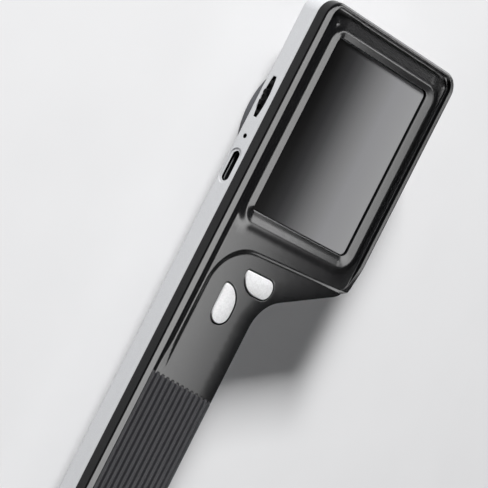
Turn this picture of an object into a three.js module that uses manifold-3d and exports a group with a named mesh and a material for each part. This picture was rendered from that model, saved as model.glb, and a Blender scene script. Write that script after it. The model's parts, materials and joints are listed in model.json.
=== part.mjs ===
// A handheld digital microscope: a flat head with a screen on its front and a round lens hood on its back,
// and a straight handle in line with the head's left side.
//
// Millimetres. +X is to the right of someone reading the screen, +Y runs up the handle to the head, and +Z
// comes out of the screen. While it is built, x = 0 is the left side wall, y = 0 the top of the head and
// z = 0 the rim of the lens hood. The finished group is moved so that its origin is the middle of its base.

import * as THREE from "three";
import { mergeVertices } from "three/addons/utils/BufferGeometryUtils.js";
import Module from "manifold-3d";

const wasm = await Module();
wasm.setup();

// Sizes of the casing seen from the front
const totalLength = 192;
const headWidth = 62.3;
const headLength = 72.9;
const handleWidth = 32.4;
const headCornerRadius = 5.5;
const handleEndRadius = 9;
const neckFilletRadius = 11;
const neckSlopeDegrees = 23.5;

// Depths from the hood's rim to the front
const hoodDepth = 11.2;
const backShellDepth = 6.55;
const frontShellDepth = 3.55;
const shellWall = 1.3;
const backEdgeRound = 0.9;

// Clearances: between pieces that meet, between the two shells, and around what turns or slides
const fitGap = 0.25;
const seamGap = 0.1;
const runningGap = 0.15;
const overrun = 1;

// Relief of the front casing, each measured down from the top of the rim
const rimWidth = 2.5;
const rimRound = 0.4;
const floorDrop = 1.4;
const frameDrop = 0.5;
const thumbDrop = 2.1;
const glassDrop = 1.6;
const frontPlate = 1.2;
const shoulderWidth = 4;

// Screen
const windowSideMargin = 9.5;
const windowTop = 8.6;
const windowBottomMargin = 10.2;
const windowCornerRadius = 2;
const frameWidth = 2.6;
const frameSlope = 2.4;
const glassThickness = 0.95;
const lcdSideLap = 0.95;
const lcdEndLap = 1.95;
const lcdThickness = 1.4;
const lcdFrameWall = 0.8;
const lcdFlexWidth = 16;
const lcdFlexThickness = 0.3;

// Thumb recess, and the ledge that is left between it and the rim on the left
const creaseRise = 1.4;
const creaseCornerRadius = 13;
const ledgeWidth = 2.7;
const ledgeEndFromTop = 108;
const rimEndMargin = 12;
const rimFadeLength = 9;

// Keys: a drop shape whose point is at one end of its straight side
const leftKeyLength = 11.7;
const leftKeyWidth = 7.1;
const leftKeyX = 15.2;
const leftKeyBelowHead = 11.3;
const rightKeyLength = 12.7;
const rightKeyWidth = 6.15;
const rightKeyX = 20.8;
const rightKeyBelowHead = 5.4;
const keyPointRadius = 0.8;
const keyRise = 0.4;
const keyCrown = 0.35;
const keyFlangeWidth = 0.8;
const keyFlangeThickness = 0.6;
const keyTravel = 0.4;
const switchSide = 5;
const switchHeight = 1.2;
const switchPlungerRadius = 1.2;
const keyBoardThickness = 0.8;
const keyBoardX = 5.5;
const keyBoardSideRoom = 1.9;
const keyBoardBelowHead = 3.1;
const keyBoardLength = 25;

// Ribbed grip on the lower handle
const gripFromTop = 114.5;
const gripEndMargin = 9;
const gripSlant = 2.8;
const gripMargin = 1.2;
const gripThickness = 0.45;
const ribCount = 13;
const ribHeight = 0.5;
const ribWidth = 1.2;

// Left side wall: wheel slot, pinhole and charging port, all on one line
const sideLineHeight = 3.1;
const slotAboveLens = 3;
const slotLength = 12.6;
const slotMidHeight = 2.6;
const slotEndHeight = 1.3;
const slotLand = 0.6;
const slotToPinhole = 12.3;
const pinholeRadius = 0.6;
const pinholeToPort = 9.2;
const portLength = 9.2;
const portHeight = 2.8;
const portLipWidth = 0.75;
const portLipDepth = 0.35;
const socketWall = 0.3;
const socketDepth = 7.2;
const tongueWidth = 6.6;
const tongueThickness = 0.7;
const resetTravel = 0.3;
const resetPlungerRadius = 0.5;
const resetPlungerLength = 2.3;
const resetPlungerShow = 0.7;
const resetBodyLength = 3;
const resetBodyWidth = 3.4;
const resetBodyHeight = 2.6;

// Focus drive: the wheel's teeth turn the ring, and the ring's thread moves the barrel
const wheelProtrusion = 1;
const wheelThickness = 2;
const wheelTipThickness = 1;
const wheelCrownDepth = 1.2;
const wheelTeeth = 20;
const ringTeeth = 22;
const addendum = 0.533;
const toothClearance = 0.3;
const toothTipShare = 0.26;
const toothRootShare = 0.42;
const axleRadius = 1.1;
const axleHeadRadius = 2;
const axleHeadThickness = 0.35;
const axleBossRadius = 2.4;
const ringThickness = 1.8;
const ringRootWall = 0.86;
const ringSleeveWall = 0.7;
const ringSleeveFromRim = 8;
const retainerThickness = 0.35;
const retainerLap = 0.55;
const retainerEarWidth = 5;

// Optics, centred under the screen
const lensAboveMiddle = 0.45;
const barrelFront = 5.9;
const barrelLength = 7.5;
const barrelWall = 2.3;
const frontLensSeat = 2.3;
const frontLensThickness = 1;
const frontLensBulge = 0.6;
const rearBarrelWall = 4.2;
const rearLensThickness = 1.5;
const rearLensDepth = 3.4;
const apertureRadius = 2.6;
const lensRingThickness = 0.4;
const lensRingWidth = 1;
const sensorWidth = 10;
const sensorHeight = 8;
const sensorThickness = 0.6;

// Lens hood with its ring of lights
const hoodSideMargin = 9.15;
const hoodWall = 2;
const hoodRimRound = 0.5;
const hoodSeatDepth = 0.8;
const hoodFloorFromRim = 9.35;
const hoodFloorThickness = 1.55;
const hoodSpigotStep = 2.75;
const hoodSpigotWall = 1.35;
const hoodSpigotHeight = 1.8;
const hoodCollarWall = 2.3;
const hoodPostRadius = 1.9;
const hoodPinRadius = 0.8;
const flangeWidth = 3.7;
const flangeRise = 0.35;
const hoodScrewInset = 1.4;
const hoodScrewCount = 4;
const hoodScrewRadius = 0.7;
const hoodScrewHeadRadius = 1.35;
const hoodScrewHeadThickness = 0.9;
const hoodScrewBite = 1.9;
const ledCount = 8;
const ledSide = 2.8;
const ledThickness = 0.8;
const ledBoardThickness = 0.9;
const diffuserThickness = 1.2;

// Boards, battery and leads
const boardThickness = 0.8;
const boardMargin = 2;
const boardFromHeadEnd = 1.6;
const boardCornerRadius = 2;
const shieldWidth = 18;
const shieldLength = 7.5;
const shieldHeight = 2;
const shieldSideRoom = 8.3;
const shieldEndRoom = 2.35;
const ribbonWidth = 8;
const ribbonThickness = 0.3;
const ribbonX = 12;
const batterySideRoom = 4.8;
const batteryEndRoom = 14.5;
const batteryThickness = 4;
const batteryX = 4.6;
const batteryFromTop = 117.5;
const batteryCornerRadius = 1.2;
const foamThickness = 0.75;
const foamEndRoom = 10;
const connectorWidth = 5;
const connectorLength = 3.4;
const connectorHeight = 1.6;
const connectorX = 7;
const leadRadius = 0.55;
const leadSpacing = 1.8;

// Case screws and their posts
const screwRadius = 0.9;
const screwHeadRadius = 1.8;
const screwHeadThickness = 1;
const screwRecess = 0.4;
const crossWidth = 0.5;
const crossDepth = 0.5;
const crossArmShare = 0.62;
const postRadius = 2.2;
const screwInset = 4.8;
const lowerScrewRise = 3.4;
const midScrewFromTop = 109;
const endScrewInset = 5.5;

// Fineness of round shapes
const roundTolerance = 0.08;
const curveSteps = 6;
const wideSides = 40;
const smallSides = 12;
const bevelSteps = 3;

// Levels worked out from the sizes above
const backFace = hoodDepth;
const backFloor = backFace + shellWall;
const parting = backFace + backShellDepth;
const rimTop = parting + frontShellDepth;
const floorLevel = rimTop - floorDrop;
const frameTop = rimTop - frameDrop;
const thumbLevel = rimTop - thumbDrop;
const glassTop = rimTop - glassDrop;
const headPlateUnder = floorLevel - frontPlate;
const thumbPlateUnder = thumbLevel - frontPlate;
const lcdTop = glassTop - glassThickness - fitGap;
const lcdBottom = lcdTop - lcdThickness;
const boardTop = lcdBottom - fitGap;
const boardBottom = boardTop - boardThickness;
const sideLine = backFace + sideLineHeight;
const postTop = boardBottom - fitGap;
const seatFloor = backFace + hoodSeatDepth;
const flangeTop = backFloor + flangeRise;

// Places worked out from the sizes above
const screenX = headWidth / 2;
const windowWidth = headWidth - 2 * windowSideMargin;
const windowHeight = headLength - windowTop - windowBottomMargin;
const windowY = -windowTop - windowHeight / 2;
const lcdWidth = windowWidth + 2 * lcdSideLap;
const lcdHeight = windowHeight + 2 * lcdEndLap;
const lensY = -headLength / 2 + lensAboveMiddle;
const wheelY = lensY + slotAboveLens;
const pinholeY = wheelY - slotToPinhole;
const portY = pinholeY - pinholeToPort;
const hoodRadius = screenX - hoodSideMargin;
const hoodSpigotRadius = hoodRadius - hoodSpigotStep;
const hoodScrewReach = hoodRadius - hoodScrewInset;
const creaseY = -headLength + creaseRise;
const leftKeyY = -headLength - leftKeyBelowHead;
const rightKeyY = -headLength - rightKeyBelowHead;
const neckRun = headWidth - handleWidth;
const neckDrop = neckRun * Math.tan(THREE.MathUtils.degToRad(neckSlopeDegrees));
const gripEnd = -totalLength + gripEndMargin;
const boardEnd = -headLength + boardFromHeadEnd;
const keyBoardTopEdge = -headLength - keyBoardBelowHead;
const keyBoardWidth = handleWidth - keyBoardX - keyBoardSideRoom;
const shieldX = headWidth - shieldSideRoom - shieldWidth;
const batteryWidth = handleWidth - batteryX - batterySideRoom;
const batteryEnd = -totalLength + batteryEndRoom;

// The gear pair fills the room between the wall, which the wheel's teeth pass by the protrusion, and the
// lens's middle: the wheel's share of the centre distance is its share of the teeth
const wheelShare = wheelTeeth / (wheelTeeth + ringTeeth);
const gearRun = screenX - addendum + wheelProtrusion;
const gearRise = lensY - wheelY;
const restShare = 1 - wheelShare ** 2;
const gearReach = Math.sqrt((gearRun * wheelShare) ** 2 + restShare * (gearRun ** 2 + gearRise ** 2));
const gearDistance = (gearReach - gearRun * wheelShare) / restShare;
const wheelPitchRadius = gearDistance * wheelShare;
const ringPitchRadius = gearDistance - wheelPitchRadius;
const wheelTipRadius = wheelPitchRadius + addendum;
const wheelX = wheelTipRadius - wheelProtrusion;
const meshAngle = Math.atan2(gearRise, screenX - wheelX);

// The ring's sleeve, the barrel and the lenses nest inside the ring's teeth
const ringSleeveRadius = ringPitchRadius - addendum - toothClearance - ringRootWall;
const ringBore = ringSleeveRadius - ringSleeveWall;
const barrelRadius = ringBore - fitGap;
const frontLensRadius = barrelRadius - barrelWall;
const rearLensRadius = barrelRadius - rearBarrelWall;
const lensRingBore = frontLensRadius - lensRingWidth;
const retainerRadius = ringPitchRadius + addendum + retainerLap;

// Finishes
const finish = (color, roughness, metalness = 0) =>
  new THREE.MeshStandardMaterial({ color, roughness, metalness });
const silverPaint = finish(0xc9cacc, 0.42, 0.35);
const blackPlastic = finish(0x1b1b1c, 0.38);
const darkPlastic = finish(0x2a2a2c, 0.5);
const gripRubber = finish(0x2b2b2f, 0.75);
const keyPlastic = finish(0xe6e6e8, 0.5);
const windowGlass = finish(0x0b0b0c, 0.05);
const lcdGrey = finish(0x3a3d42, 0.25);
const lensGlass = finish(0xbfd4d8, 0.03);
const boardGreen = finish(0x14532f, 0.55);
const steel = finish(0xb9bcc0, 0.3, 1);
const amberFilm = finish(0xb4761f, 0.5);
const ledWhite = finish(0xf2efd8, 0.35);
const frostedWhite = finish(0xe9eef0, 0.45);
const batteryFoil = finish(0xaeb2b6, 0.35, 0.8);
const foamGrey = finish(0x3b3b3b, 0.95);
const redLead = finish(0xa51f1f, 0.5);
const blackLead = finish(0x151515, 0.5);

// Closed geometry as a solid that can be cut and joined
function solid(geometry) {
  const bare = geometry.clone();
  bare.deleteAttribute("normal");
  bare.deleteAttribute("uv");
  const merged = mergeVertices(bare);
  const vertProperties = merged.attributes.position.array;
  const triVerts = new Uint32Array(merged.index.array);
  return new wasm.Manifold(new wasm.Mesh({ numProp: 3, vertProperties, triVerts }));
}

const join = (first, ...others) => others.reduce((sum, piece) => sum.add(piece), first);
const cut = (first, ...others) => others.reduce((rest, piece) => rest.subtract(piece), first);

// An outline with round corners, drawn inset inside the corners [x, y, radius], which go counterclockwise
function outline(corners, inset = 0) {
  const corner = (i) => corners[(i + corners.length) % corners.length];
  const edge = (i) => {
    const [x0, y0] = corner(i);
    const [x1, y1] = corner(i + 1);
    return new THREE.Vector2(x1 - x0, y1 - y0).normalize();
  };
  const points = [];
  for (let i = 0; i < corners.length; i++) {
    const [x, y, radius] = corner(i);
    const before = edge(i - 1);
    const after = edge(i);
    const turn = Math.atan2(before.cross(after), before.dot(after));
    const side = Math.sign(turn);
    const round = Math.max(radius - side * inset, 0);
    const middle = new THREE.Vector2(-before.y - after.y, before.x + after.x);
    const tip = middle.multiplyScalar(inset / (1 + before.dot(after))).add(new THREE.Vector2(x, y));
    const start = tip.clone().addScaledVector(before, -round * Math.tan(Math.abs(turn) / 2));
    const toCentre = new THREE.Vector2(-before.y, before.x).multiplyScalar(side * round);
    const steps = arcSteps(round, turn);
    if (steps === 1) points.push(tip);
    else for (let j = 0; j <= steps; j++) {
      const spoke = toCentre.clone().negate().rotateAround(new THREE.Vector2(), (turn * j) / steps);
      points.push(start.clone().add(toCentre).add(spoke));
    }
  }
  return new THREE.Shape(points);
}

// Steps that keep an arc within the tolerance of a true round
function arcSteps(radius, turn) {
  if (radius <= roundTolerance) return 1;
  return Math.ceil(Math.abs(turn) / (2 * Math.acos(1 - roundTolerance / radius)));
}

const rectangle = (x0, x1, y0, y1, radius = 0) => [
  [x0, y0, radius],
  [x1, y0, radius],
  [x1, y1, radius],
  [x0, y1, radius],
];

// An outline made solid between two heights
function prism(shape, low, high) {
  const options = { depth: high - low, bevelEnabled: false };
  return solid(new THREE.ExtrudeGeometry(shape, options).translate(0, 0, low));
}

// The same with one edge rounded off over a width and a height: the upper one, or the lower one if asked
function roundedPrism(shape, low, high, width, height, atBottom = false) {
  const options = {
    depth: high - low,
    bevelSegments: bevelSteps,
    bevelSize: width,
    bevelOffset: -width,
    bevelThickness: height,
  };
  const start = atBottom ? low + height : low - height;
  const whole = solid(new THREE.ExtrudeGeometry(shape, options).translate(0, 0, start));
  const [from, to] = atBottom ? [high, totalLength] : [-totalLength, low];
  return cut(whole, block(-totalLength, totalLength, -2 * totalLength, totalLength, from, to));
}

function block(x0, x1, y0, y1, z0, z1) {
  const box = new THREE.BoxGeometry(x1 - x0, y1 - y0, z1 - z0);
  return solid(box.translate((x0 + x1) / 2, (y0 + y1) / 2, (z0 + z1) / 2));
}

function disc(x, y, radius, z0, z1, sides = smallSides) {
  const cylinder = new THREE.CylinderGeometry(radius, radius, z1 - z0, sides);
  return solid(cylinder.rotateX(Math.PI / 2).translate(x, y, (z0 + z1) / 2));
}

// A bar of round section that runs along X
function crossBar(x0, x1, y, z, radius) {
  const cylinder = new THREE.CylinderGeometry(radius, radius, x1 - x0, smallSides);
  return solid(cylinder.rotateZ(Math.PI / 2).translate((x0 + x1) / 2, y, z));
}

// A closed profile of [radius, height] pairs, counterclockwise, turned about an upright line at x, y
function turned(x, y, profile, sides = wideSides) {
  const points = [...profile, profile[0]].map(([radius, height]) => new THREE.Vector2(radius, height));
  return solid(new THREE.LatheGeometry(points, sides).rotateX(Math.PI / 2).translate(x, y, 0));
}

const washer = (x, y, inner, outer, z0, z1, sides = wideSides) =>
  turned(x, y, [[inner, z0], [outer, z0], [outer, z1], [inner, z1]], sides);

// A shape drawn in the plane of the side wall (along Y and Z) and run along X
function throughWall(shape, x0, x1) {
  const options = { depth: x1 - x0, bevelEnabled: false, curveSegments: curveSteps };
  const geometry = new THREE.ExtrudeGeometry(shape, options);
  geometry.applyMatrix4(new THREE.Matrix4().set(0, 0, 1, x0, 1, 0, 0, 0, 0, 1, 0, 0, 0, 0, 0, 1));
  return solid(geometry);
}

// A section drawn across the handle (points [x, z], counterclockwise) and run along Y
function alongHandle(points, y0, y1) {
  const shape = new THREE.Shape(points.map(([x, z]) => new THREE.Vector2(x, z)));
  const options = { depth: y1 - y0, bevelEnabled: false };
  return solid(new THREE.ExtrudeGeometry(shape, options).rotateX(Math.PI / 2).translate(0, y1, 0));
}

// The casing's outline: head, sloping neck and handle
const caseCorners = [
  [0, -totalLength, handleEndRadius],
  [handleWidth, -totalLength, handleEndRadius],
  [handleWidth, -headLength - neckDrop, neckFilletRadius],
  [headWidth, -headLength, headCornerRadius],
  [headWidth, 0, headCornerRadius],
  [0, 0, headCornerRadius],
];
const caseOutline = (inset) => outline(caseCorners, inset);

// Screw places: four round the head and two down the middle of the handle
const screwPlaces = [
  [screwInset, -screwInset],
  [headWidth - screwInset, -screwInset],
  [screwInset, -headLength + lowerScrewRise],
  [headWidth - screwInset, -headLength + lowerScrewRise],
  [handleWidth / 2, -midScrewFromTop],
  [handleWidth / 2, -totalLength + endScrewInset],
];
const inHead = (y) => y > -headLength;
const screwTip = (y) => (inHead(y) ? headPlateUnder : thumbPlateUnder) - fitGap;
const bossBottom = (y) => (inHead(y) ? boardTop : postTop) + fitGap;

// Window outline, grown by a margin
const windowShape = (margin) => {
  const half = windowWidth / 2;
  const corners = rectangle(
    screenX - half, screenX + half, -windowTop - windowHeight, -windowTop, windowCornerRadius);
  return outline(corners, -margin);
};

// Key outline from its top left corner: a straight side from the point to the round end, and a bulging side
const keyBulgeShares = [0.58, 0.25];
function keyShape(x, y, length, width, upright, margin) {
  const end = width / 2;
  const pull = length + end / 3;
  const [bulgeShare, pointShare] = keyBulgeShares;
  const corner = (along, across) => (upright ? [x + across, y - along] : [x + along, y - across]);
  const shape = new THREE.Path();
  shape.moveTo(...corner(keyPointRadius, 0));
  shape.lineTo(...corner(length - end, 0));
  shape.bezierCurveTo(...corner(pull, 0), ...corner(pull, width), ...corner(length - end, width));
  shape.lineTo(...corner(length * bulgeShare, width));
  shape.bezierCurveTo(
    ...corner(length * pointShare, width), ...corner(0, width * bulgeShare), ...corner(0, keyPointRadius));
  shape.quadraticCurveTo(...corner(0, 0), ...corner(keyPointRadius, 0));
  const points = shape.getPoints(curveSteps);
  const ring = upright ? points : points.reverse();
  return outline(ring.slice(1).map((point) => [point.x, point.y, 0]), -margin);
}
const leftKeyShape = (margin) =>
  keyShape(leftKeyX, leftKeyY, leftKeyLength, leftKeyWidth, true, margin);
const rightKeyShape = (margin) =>
  keyShape(rightKeyX, rightKeyY, rightKeyLength, rightKeyWidth, false, margin);

// The grip's arch: level from its left edge, then down over the handle's right shoulder
const shoulderX = handleWidth - shoulderWidth;
const gripLeft = rimWidth + gripMargin;
const shoulderHeight = thumbLevel - parting;
function gripArch(inset) {
  const path = new THREE.Path();
  path.moveTo(gripLeft, thumbLevel - inset);
  path.lineTo(shoulderX, thumbLevel - inset);
  path.absellipse(shoulderX, parting, shoulderWidth - inset, shoulderHeight - inset, Math.PI / 2, 0, true);
  return path;
}
const gripPlan = (margin) =>
  outline(
    [
      [-overrun, gripEnd, 0],
      [handleWidth + overrun, gripEnd, 0],
      [handleWidth + overrun, -gripFromTop - gripSlant, 0],
      [-overrun, -gripFromTop, 0],
    ],
    -margin,
  );

function frontShell() {
  const sideOfThumb = rimWidth + ledgeWidth;
  const beyond = headWidth + overrun;
  const bottom = -totalLength - overrun;
  const thumbCorners = [
    [sideOfThumb, bottom, 0],
    [beyond, bottom, 0],
    [beyond, creaseY, 0],
    [sideOfThumb, creaseY, creaseCornerRadius],
  ];
  const body = roundedPrism(caseOutline(0), parting, thumbLevel, shoulderWidth, shoulderHeight);
  const rim = cut(
    roundedPrism(caseOutline(0), parting, rimTop, rimRound, rimRound),
    prism(caseOutline(rimWidth), parting - overrun, rimTop + overrun),
    block(rimWidth + overrun, beyond, bottom, creaseY, parting, rimTop + overrun),
  );
  const floor = cut(
    prism(caseOutline(rimWidth / 2), parting, floorLevel),
    prism(outline(thumbCorners), thumbLevel, rimTop),
    block(rimWidth, beyond, bottom, -ledgeEndFromTop, thumbLevel, rimTop),
  );
  const frame = roundedPrism(
    windowShape(frameWidth + frameSlope), parting, frameTop, frameSlope, frameTop - floorLevel);
  const bosses = screwPlaces.map(([x, y]) =>
    disc(x, y, postRadius, bossBottom(y), inHead(y) ? headPlateUnder : thumbPlateUnder));
  const headRoom = prism(caseOutline(shellWall), parting - overrun, headPlateUnder);
  const belowHead = block(-overrun, beyond, bottom, creaseY + shellWall, thumbPlateUnder, rimTop);
  const hollow = cut(headRoom, belowHead);
  const pilots = screwPlaces.map(([x, y]) =>
    disc(x, y, screwRadius + fitGap, bossBottom(y) - overrun, screwTip(y) + fitGap));
  const seatPlan = prism(gripPlan(fitGap), parting, rimTop + overrun);
  const seatInset = gripThickness + fitGap;
  const under = gripArch(seatInset).getPoints(bevelSteps).map((point) => [point.x, point.y]);
  const kept = alongHandle(
    [[gripLeft - fitGap, parting], [handleWidth - shoulderWidth, parting], ...under.reverse(),
      [gripLeft - fitGap, thumbLevel - seatInset]],
    gripEnd - overrun, -gripFromTop + overrun);
  const rimFade = new THREE.Shape([
    new THREE.Vector2(bottom, thumbLevel),
    new THREE.Vector2(-totalLength + rimEndMargin - rimFadeLength, thumbLevel),
    new THREE.Vector2(-totalLength + rimEndMargin, rimTop + overrun),
    new THREE.Vector2(bottom, rimTop + overrun),
  ]);
  const seat = cut(
    seatPlan,
    block(-2 * overrun, gripLeft - fitGap, bottom, 0, parting - overrun, rimTop + 2 * overrun),
    kept,
  );
  const casing = cut(
    join(body, rim, floor, frame),
    throughWall(rimFade, -overrun, beyond),
    hollow,
    prism(windowShape(0), parting, rimTop + overrun),
    prism(leftKeyShape(fitGap), parting, rimTop),
    prism(rightKeyShape(fitGap), parting, rimTop),
    seat,
  );
  return cut(join(casing, ...bosses), ...pilots);
}

function gripInsert() {
  const outer = gripArch(0).getPoints(bevelSteps).reverse();
  const inner = gripArch(gripThickness).getPoints(bevelSteps);
  const section = [...outer, ...inner].map((point) => [point.x, point.y]);
  const bottom = gripEnd - overrun;
  const sheet = alongHandle(section, bottom, 0);
  const path = gripArch(0);
  const sunk = -gripThickness / 2;
  const ribs = Array.from({ length: ribCount }, (_, i) => {
    const share = (i + 0.5) / ribCount;
    const along = path.getTangentAt(share);
    const place = (across, up) => {
      const point = path.getPointAt(share).addScaledVector(along, across);
      return [point.x - along.y * up, point.y + along.x * up];
    };
    const half = ribWidth / 2;
    return alongHandle(
      [place(-half, sunk), place(half, sunk), place(half / 2, ribHeight), place(-half / 2, ribHeight)],
      bottom, 0);
  });
  const room = block(0, handleWidth + overrun, bottom, 0, parting + fitGap, rimTop);
  return join(sheet, ...ribs).intersect(prism(gripPlan(0), parting, rimTop)).intersect(room);
}

// Levels and rings shared by the hood, the drive and the back casing
const wheelBottom = sideLine - wheelThickness / 2;
const wheelTop = wheelBottom + wheelThickness;
const ringBottom = sideLine - ringThickness / 2;
const ringTop = ringBottom + ringThickness;
const retainerBottom = ringTop + fitGap;
const hoodBore = ringSleeveRadius + fitGap;
const hoodPostReach = retainerRadius + hoodPostRadius;
const hoodSeatTop = seatFloor - fitGap;
const backPostRadius = screwHeadRadius + fitGap + hoodPinRadius;
const postRing = (count, reach, offset = 0) =>
  Array.from({ length: count }, (_, i) => {
    const angle = ((i + offset) * 2 * Math.PI) / count;
    return [screenX + reach * Math.cos(angle), lensY + reach * Math.sin(angle), angle];
  });
const hoodScrewPlaces = postRing(hoodScrewCount, hoodScrewReach, 1 / 2);
const hoodPostPlaces = [[screenX, lensY - hoodPostReach], [screenX, lensY + hoodPostReach]];

// Key levels, from the plate above them down to their board
const flangeLevel = thumbPlateUnder - fitGap;
const flangeUnder = flangeLevel - keyFlangeThickness;
const plungerTop = flangeUnder - fitGap;
const switchTop = plungerTop - fitGap;
const switchBottom = switchTop - switchHeight;
const keyBoardTop = switchBottom - fitGap;
const keyBoardBottom = keyBoardTop - keyBoardThickness;
const keyMiddle = {
  left: [leftKeyX + leftKeyWidth / 2, leftKeyY - leftKeyLength / 2],
  right: [rightKeyX + rightKeyLength / 2, rightKeyY - rightKeyWidth / 2],
};
const keyBoardEnd = keyBoardTopEdge - keyBoardLength;
const keyBoardPosts = [
  [keyBoardX + backPostRadius, keyBoardTopEdge - backPostRadius],
  [keyBoardX + keyBoardWidth / 2, keyBoardEnd + backPostRadius],
];

// The eye-shaped slot in the side wall, the port's opening and its lip
function slotShape() {
  const half = slotLength / 2;
  const end = slotEndHeight / 2;
  const bulge = slotMidHeight - end;
  const shape = new THREE.Shape();
  shape.moveTo(wheelY - half, sideLine - end);
  shape.quadraticCurveTo(wheelY, sideLine - bulge, wheelY + half, sideLine - end);
  shape.lineTo(wheelY + half, sideLine + end);
  shape.quadraticCurveTo(wheelY, sideLine + bulge, wheelY - half, sideLine + end);
  return shape;
}
function portShape(margin) {
  const y = portY;
  const [length, height] = [portLength / 2 + margin, portHeight / 2 + margin];
  return outline(rectangle(y - length, y + length, sideLine - height, sideLine + height, height));
}

function backShell() {
  const top = parting - seamGap;
  const outer = roundedPrism(caseOutline(0), backFace, top, backEdgeRound, backEdgeRound, true);
  const casing = cut(outer, prism(caseOutline(shellWall), backFloor, top + overrun));
  const posts = screwPlaces.map(([x, y]) => disc(x, y, backPostRadius, backFloor, postTop));
  const boardPosts = keyBoardPosts.map(([x, y]) =>
    disc(x, y, hoodPostRadius, backFloor, keyBoardBottom - fitGap));
  const axleBoss = disc(wheelX, wheelY, axleBossRadius, backFloor, wheelBottom - fitGap);
  const flange = disc(screenX, lensY, hoodSpigotRadius + fitGap + flangeWidth, backFloor, flangeTop, wideSides);
  const batteryStops = [-batteryFromTop + shellWall + fitGap, batteryEnd - fitGap].map(
    (y) => block(batteryX + fitGap, batteryX + batteryWidth, y - shellWall, y, backFloor, backFloor + shellWall));
  const screwHoles = screwPlaces.map(([x, y]) =>
    join(
      disc(x, y, screwRadius + fitGap, backFace - overrun, postTop + overrun),
      disc(x, y, screwHeadRadius + fitGap, backFace - overrun, caseScrewEnd + screwHeadThickness + fitGap),
    ));
  const hoodHoles = hoodScrewPlaces.map(([x, y]) =>
    disc(x, y, hoodScrewRadius + fitGap, seatFloor - overrun, flangeTop + overrun));
  const wheelRoom = disc(
    wheelX, wheelY, wheelTipRadius + 2 * fitGap, wheelBottom - fitGap, wheelTop + 2 * fitGap, wideSides);
  const behindLand = block(slotLand, headWidth, wheelY - headWidth, wheelY + headWidth, backFace, rimTop);
  return cut(
    join(casing, ...posts, ...boardPosts, axleBoss, flange, ...batteryStops),
    ...screwHoles,
    ...hoodHoles,
    disc(screenX, lensY, hoodRadius + fitGap, backFace - overrun, seatFloor, wideSides),
    disc(screenX, lensY, hoodSpigotRadius + fitGap, backFace - overrun, flangeTop + overrun, wideSides),
    disc(wheelX, wheelY, axleRadius + runningGap, backFace + shellWall / 2, wheelBottom),
    wheelRoom.intersect(behindLand),
    throughWall(slotShape(), -overrun, shellWall + overrun),
    throughWall(portShape(0), -overrun, shellWall + overrun),
    throughWall(portShape(portLipWidth), -overrun, portLipDepth),
    crossBar(-overrun, shellWall + overrun, pinholeY, sideLine, pinholeRadius),
  );
}

// A screw with a cross recess: its head ends at one height, and its shank runs towards the given side
function screw([x, y], headEnd, side, length, radius, headRadius, headThickness) {
  const profile = [
    [0, 0],
    [headRadius, 0],
    [headRadius, headThickness],
    [radius, headThickness],
    [radius, length],
    [0, length],
  ].map(([reach, along]) => [reach, headEnd + side * along]);
  const body = turned(x, y, side > 0 ? profile : profile.reverse(), smallSides);
  const arm = headRadius * crossArmShare;
  const half = crossWidth / 2;
  const [low, high] = [headEnd - crossDepth, headEnd + crossDepth];
  return cut(
    body,
    block(x - arm, x + arm, y - half, y + half, low, high),
    block(x - half, x + half, y - arm, y + arm, low, high),
  );
}
const caseScrewEnd = backFace + screwRecess;
const hoodScrewEnd = flangeTop + fitGap + hoodScrewHeadThickness;
const hoodScrewTip = hoodSeatTop - hoodScrewBite;

// A toothed disc outline about x, y, with one tooth or, shifted by half a pitch, one gap at the given angle
function gearShape(x, y, teeth, pitchRadius, angle) {
  const tip = pitchRadius + addendum;
  const root = pitchRadius - addendum - toothClearance;
  const pitch = (2 * Math.PI) / teeth;
  const points = [];
  for (let i = 0; i < teeth; i++) {
    const middle = angle + i * pitch;
    for (const [radius, share] of [[root, -toothRootShare], [tip, -toothTipShare], [tip, toothTipShare],
      [root, toothRootShare]]) {
      const at = middle + (share * pitch) / 2;
      points.push(new THREE.Vector2(x + radius * Math.cos(at), y + radius * Math.sin(at)));
    }
  }
  return new THREE.Shape(points);
}

function thumbwheel() {
  const bore = axleRadius + runningGap;
  const shoulder = wheelTipRadius - wheelCrownDepth;
  const bevel = (wheelThickness - wheelTipThickness) / 2;
  const crown = turned(wheelX, wheelY, [
    [bore, wheelBottom],
    [shoulder, wheelBottom],
    [wheelTipRadius, wheelBottom + bevel],
    [wheelTipRadius, wheelTop - bevel],
    [shoulder, wheelTop],
    [bore, wheelTop],
  ], 2 * wheelTeeth);
  const teeth = prism(gearShape(wheelX, wheelY, wheelTeeth, wheelPitchRadius, meshAngle), wheelBottom, wheelTop);
  return crown.intersect(teeth);
}

function wheelAxle() {
  const foot = backFace + shellWall / 2 + fitGap;
  const head = wheelTop + runningGap;
  return turned(wheelX, wheelY, [
    [0, foot],
    [axleRadius, foot],
    [axleRadius, head],
    [axleHeadRadius, head],
    [axleHeadRadius, head + axleHeadThickness],
    [0, head + axleHeadThickness],
  ], smallSides);
}

function focusRing() {
  const gap = meshAngle + Math.PI + Math.PI / ringTeeth;
  const teeth = prism(gearShape(screenX, lensY, ringTeeth, ringPitchRadius, gap), ringBottom, ringTop);
  return cut(
    join(teeth, disc(screenX, lensY, ringSleeveRadius, ringSleeveFromRim, ringTop, wideSides)),
    disc(screenX, lensY, ringBore, ringSleeveFromRim - overrun, ringTop + overrun, wideSides),
  );
}

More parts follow.
